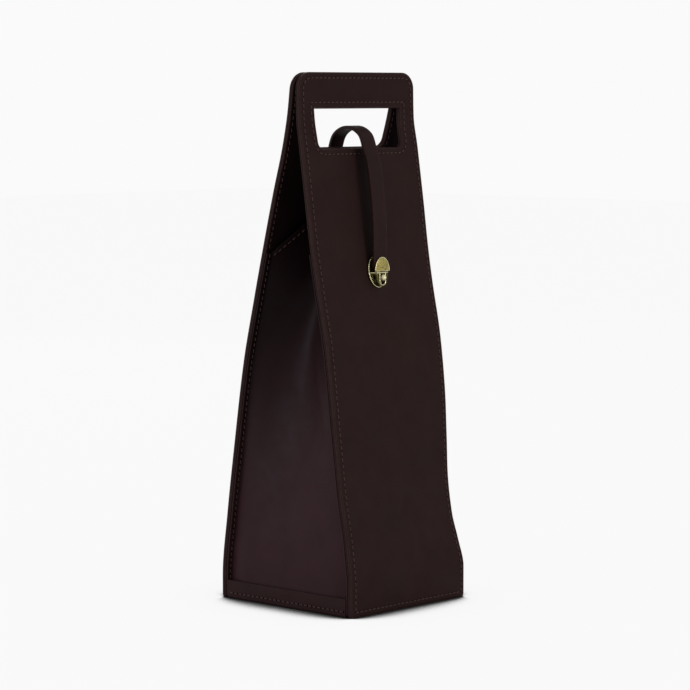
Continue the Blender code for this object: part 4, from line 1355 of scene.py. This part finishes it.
def build_knob(finish):
    """Turned ball on a short neck."""
    meet = math.acos(-math.sqrt(KNOB_RADIUS ** 2 - KNOB_NECK_RADIUS ** 2) / KNOB_RADIUS)
    profile = [(KNOB_RADIUS * math.sin(turn), 0, KNOB_CENTRE_OUT + KNOB_RADIUS * math.cos(turn))
               for turn in spread(0, meet, KNOB_STEPS)]
    profile += [(KNOB_NECK_RADIUS, 0, KNOB_START_OUT), (0, 0, KNOB_START_OUT)]
    piece = turned("lock_knob", profile, finish["knob"])
    piece.matrix_world = face_matrix() @ Matrix.Translation((0, -KNOB_DROP, 0))
    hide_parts("slider_knob")
    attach(piece, "lock_slider")


def build_spring(finish):
    """Coil below the slider bar, at one fixed length, carried by the front wall."""
    middle_out = SLIDER_BACK + SLIDER_THICKNESS / 2
    count = SPRING_TURNS * SPRING_TURN_STEPS
    turns = spread(0, math.tau * SPRING_TURNS, count)
    path = [(SPRING_RADIUS * math.cos(turn), rise, middle_out + SPRING_RADIUS * math.sin(turn))
            for turn, rise in zip(turns, spread(SPRING_LOW, SPRING_HIGH, count))]
    piece = bead("lock_coil_spring", path, SPRING_WIRE_RADIUS, finish["steel"], False, 2)
    frame = face_matrix()
    piece.data.transform(frame)
    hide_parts("lock_spring")
    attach(piece, "front_wall")
    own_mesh(piece)


def build_catch(finish):
    """Front plate of the catch: half oval, softly domed, with a bright rolled rim."""
    front = CATCH_FRONT_OUT + CATCH_PLATE
    outline = half_oval(CATCH_WIDTH, CATCH_RISE, TOUCH_GAP, 1)
    piece = plate("catch_plate", outline, CATCH_FRONT_OUT, front, LOCK_EDGE, finish["brass"])
    with mesh_of(piece) as bm:
        slice_mesh(bm, spread(-CATCH_WIDTH / 2, CATCH_WIDTH / 2, CATCH_CUTS),
                   spread(TOUCH_GAP, TOUCH_GAP + CATCH_RISE, CATCH_CUTS))
        for vertex in bm.verts:
            if vertex.co.z > CATCH_FRONT_OUT + CATCH_PLATE / 2:
                off_x = vertex.co.x / (CATCH_WIDTH / 2)
                off_y = (vertex.co.y / CATCH_RISE - CATCH_CROWN_SHARE) / (1 - CATCH_CROWN_SHARE)
                vertex.co.z += CATCH_DOME * max(1 - off_x ** 2 - off_y ** 2, 0.0)
    shade_by_angle(piece, ROUNDED_ANGLE)
    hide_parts("catch_front_plate")
    path = half_oval(CATCH_WIDTH - 2 * CATCH_RIM_RADIUS, CATCH_RISE - 2 * CATCH_RIM_RADIUS,
                     TOUCH_GAP + CATCH_RIM_RADIUS, 1)
    rim = bead("catch_rim", [(x, y, front) for x, y in path], CATCH_RIM_RADIUS, finish["rim"], True)
    for made in (piece, rim, build_catch_rivet(finish)):
        made.matrix_world = face_matrix()
        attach(made, "strap_flap")


def build_catch_rivet(finish):
    """Rivet through the strap that holds the catch's two plates together."""
    back = CATCH_BACK_OUT + CATCH_PLATE + TOUCH_GAP / 2
    profile = [(0, 0, back), (CATCH_POST_RADIUS, 0, back),
               (CATCH_POST_RADIUS, 0, CATCH_FRONT_OUT), (0, 0, CATCH_FRONT_OUT)]
    piece = turned("catch_rivet", profile, finish["brass"])
    piece.data.transform(Matrix.Translation((0, CATCH_POST_RISE, 0)))
    return piece


# Stage


def build_floor():
    """Pale floor that meets the white background. Its glow carries a painted contact shadow, taken from
    ambient occlusion looked for along SHADOW_SIDE; only a small share of the floor's real shading shows.
    """
    bm = bmesh.new()
    bmesh.ops.create_grid(bm, x_segments=1, y_segments=1, size=FLOOR_SIZE / 2)
    nodes = new_material("pale_floor")
    nodes.surface(Base_Color=(*FLOOR_COLOUR, 1.0), Roughness=0.9, Specular_IOR_Level=0.0)
    near = nodes.add("AmbientOcclusion", {"Distance": SHADOW_REACH, "Normal": SHADOW_SIDE}, samples=32)
    levels = [(place, (level, level, level)) for place, level in SHADOW_LEVELS]
    glow = nodes.add("Emission", {"Color": nodes.ramp(near.outputs["AO"], *levels)})
    shown = nodes.sum_of(nodes.seen_directly(), SHOWN_SHARE, "MULTIPLY")
    nodes.mixed(shown, nodes.shader.outputs["BSDF"], glow.outputs["Emission"], "Material Output")
    new_piece("floor", bm, [nodes.material])


def build_world():
    world = bpy.data.worlds.new("studio")
    bpy.context.scene.world = world
    nodes = Nodes(world)
    plain = nodes.tree.nodes["Background"]
    nodes.feed(plain, {"Color": (*BACKGROUND, 1.0), "Strength": 1.0})
    fill = nodes.add("Background", {"Color": (1.0, 1.0, 1.0, 1.0), "Strength": WORLD_FILL})
    nodes.mixed(nodes.seen_directly(), fill.outputs["Background"], plain.outputs["Background"],
                "World Output")


def aimed(name, data, place, way):
    """Places a light or the camera so that it looks along a direction."""
    holder = new_object(name, data)
    holder.location = place
    holder.rotation_euler = way.to_track_quat("-Z", "Y").to_euler()
    return holder


def build_lights():
    for name, place, size, power, colour in LIGHTS:
        lamp = bpy.data.lights.new(name, "AREA")
        lamp.shape = "DISK"
        lamp.size = size
        lamp.energy = power
        lamp.color = colour
        aimed(name, lamp, place, Vector((0, 0, BODY_HEIGHT / 2)) - Vector(place))


def build_camera():
    lens = bpy.data.cameras.new("camera")
    lens.sensor_fit = "HORIZONTAL"
    lens.sensor_width = SENSOR
    lens.lens = CAMERA_LENS
    level = Vector((math.sin(CAMERA_AZIMUTH), -math.cos(CAMERA_AZIMUTH), 0))
    away = level * math.cos(CAMERA_ELEVATION) + Vector((0, 0, math.sin(CAMERA_ELEVATION)))
    place = Vector(CAMERA_FOCUS) + away * CAMERA_DISTANCE
    bpy.context.scene.camera = aimed("camera", lens, place, -away)


def dress_cad_nodes(frame, finish):
    """Detailed materials for the solids that show as they are."""
    looks = {
        "lining": ("base_lining",),
        "board": ("base_board", "back_stiffener_board", "front_stiffener_board"),
        "patina": ("lock_backing_plate", "catch_back_plate", "slider_bar"),
    }
    for look, nodes in looks.items():
        for node in nodes:
            mesh = frame["nodes"][node].data
            mesh.materials.clear()
            mesh.materials.append(finish[look])


def all_finishes():
    finish = {key: leather(*look) for key, look in LEATHERS.items()}
    finish.update({key: brass(*look) for key, look in BRASSES.items()})
    finish.update(edge=edge_finish(), thread=thread(), steel=spring_steel(), board=fibre_board())
    return finish


def main():
    for old in list(bpy.data.objects):
        bpy.data.objects.remove(old)
    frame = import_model()
    finish = all_finishes()
    build_wall("front", FRONT, "front_wall", finish)
    build_wall("back", BACK, "root", finish)
    build_gusset("left", -1, finish)
    build_gusset("right", 1, finish)
    for build in (build_base, build_strap, build_lock_plate, build_housing, build_knob, build_spring,
                  build_catch):
        build(finish)
    dress_cad_nodes(frame, finish)
    build_floor()
    build_world()
    build_lights()
    build_camera()
    bpy.context.scene.view_settings.view_transform = "Standard"


main()
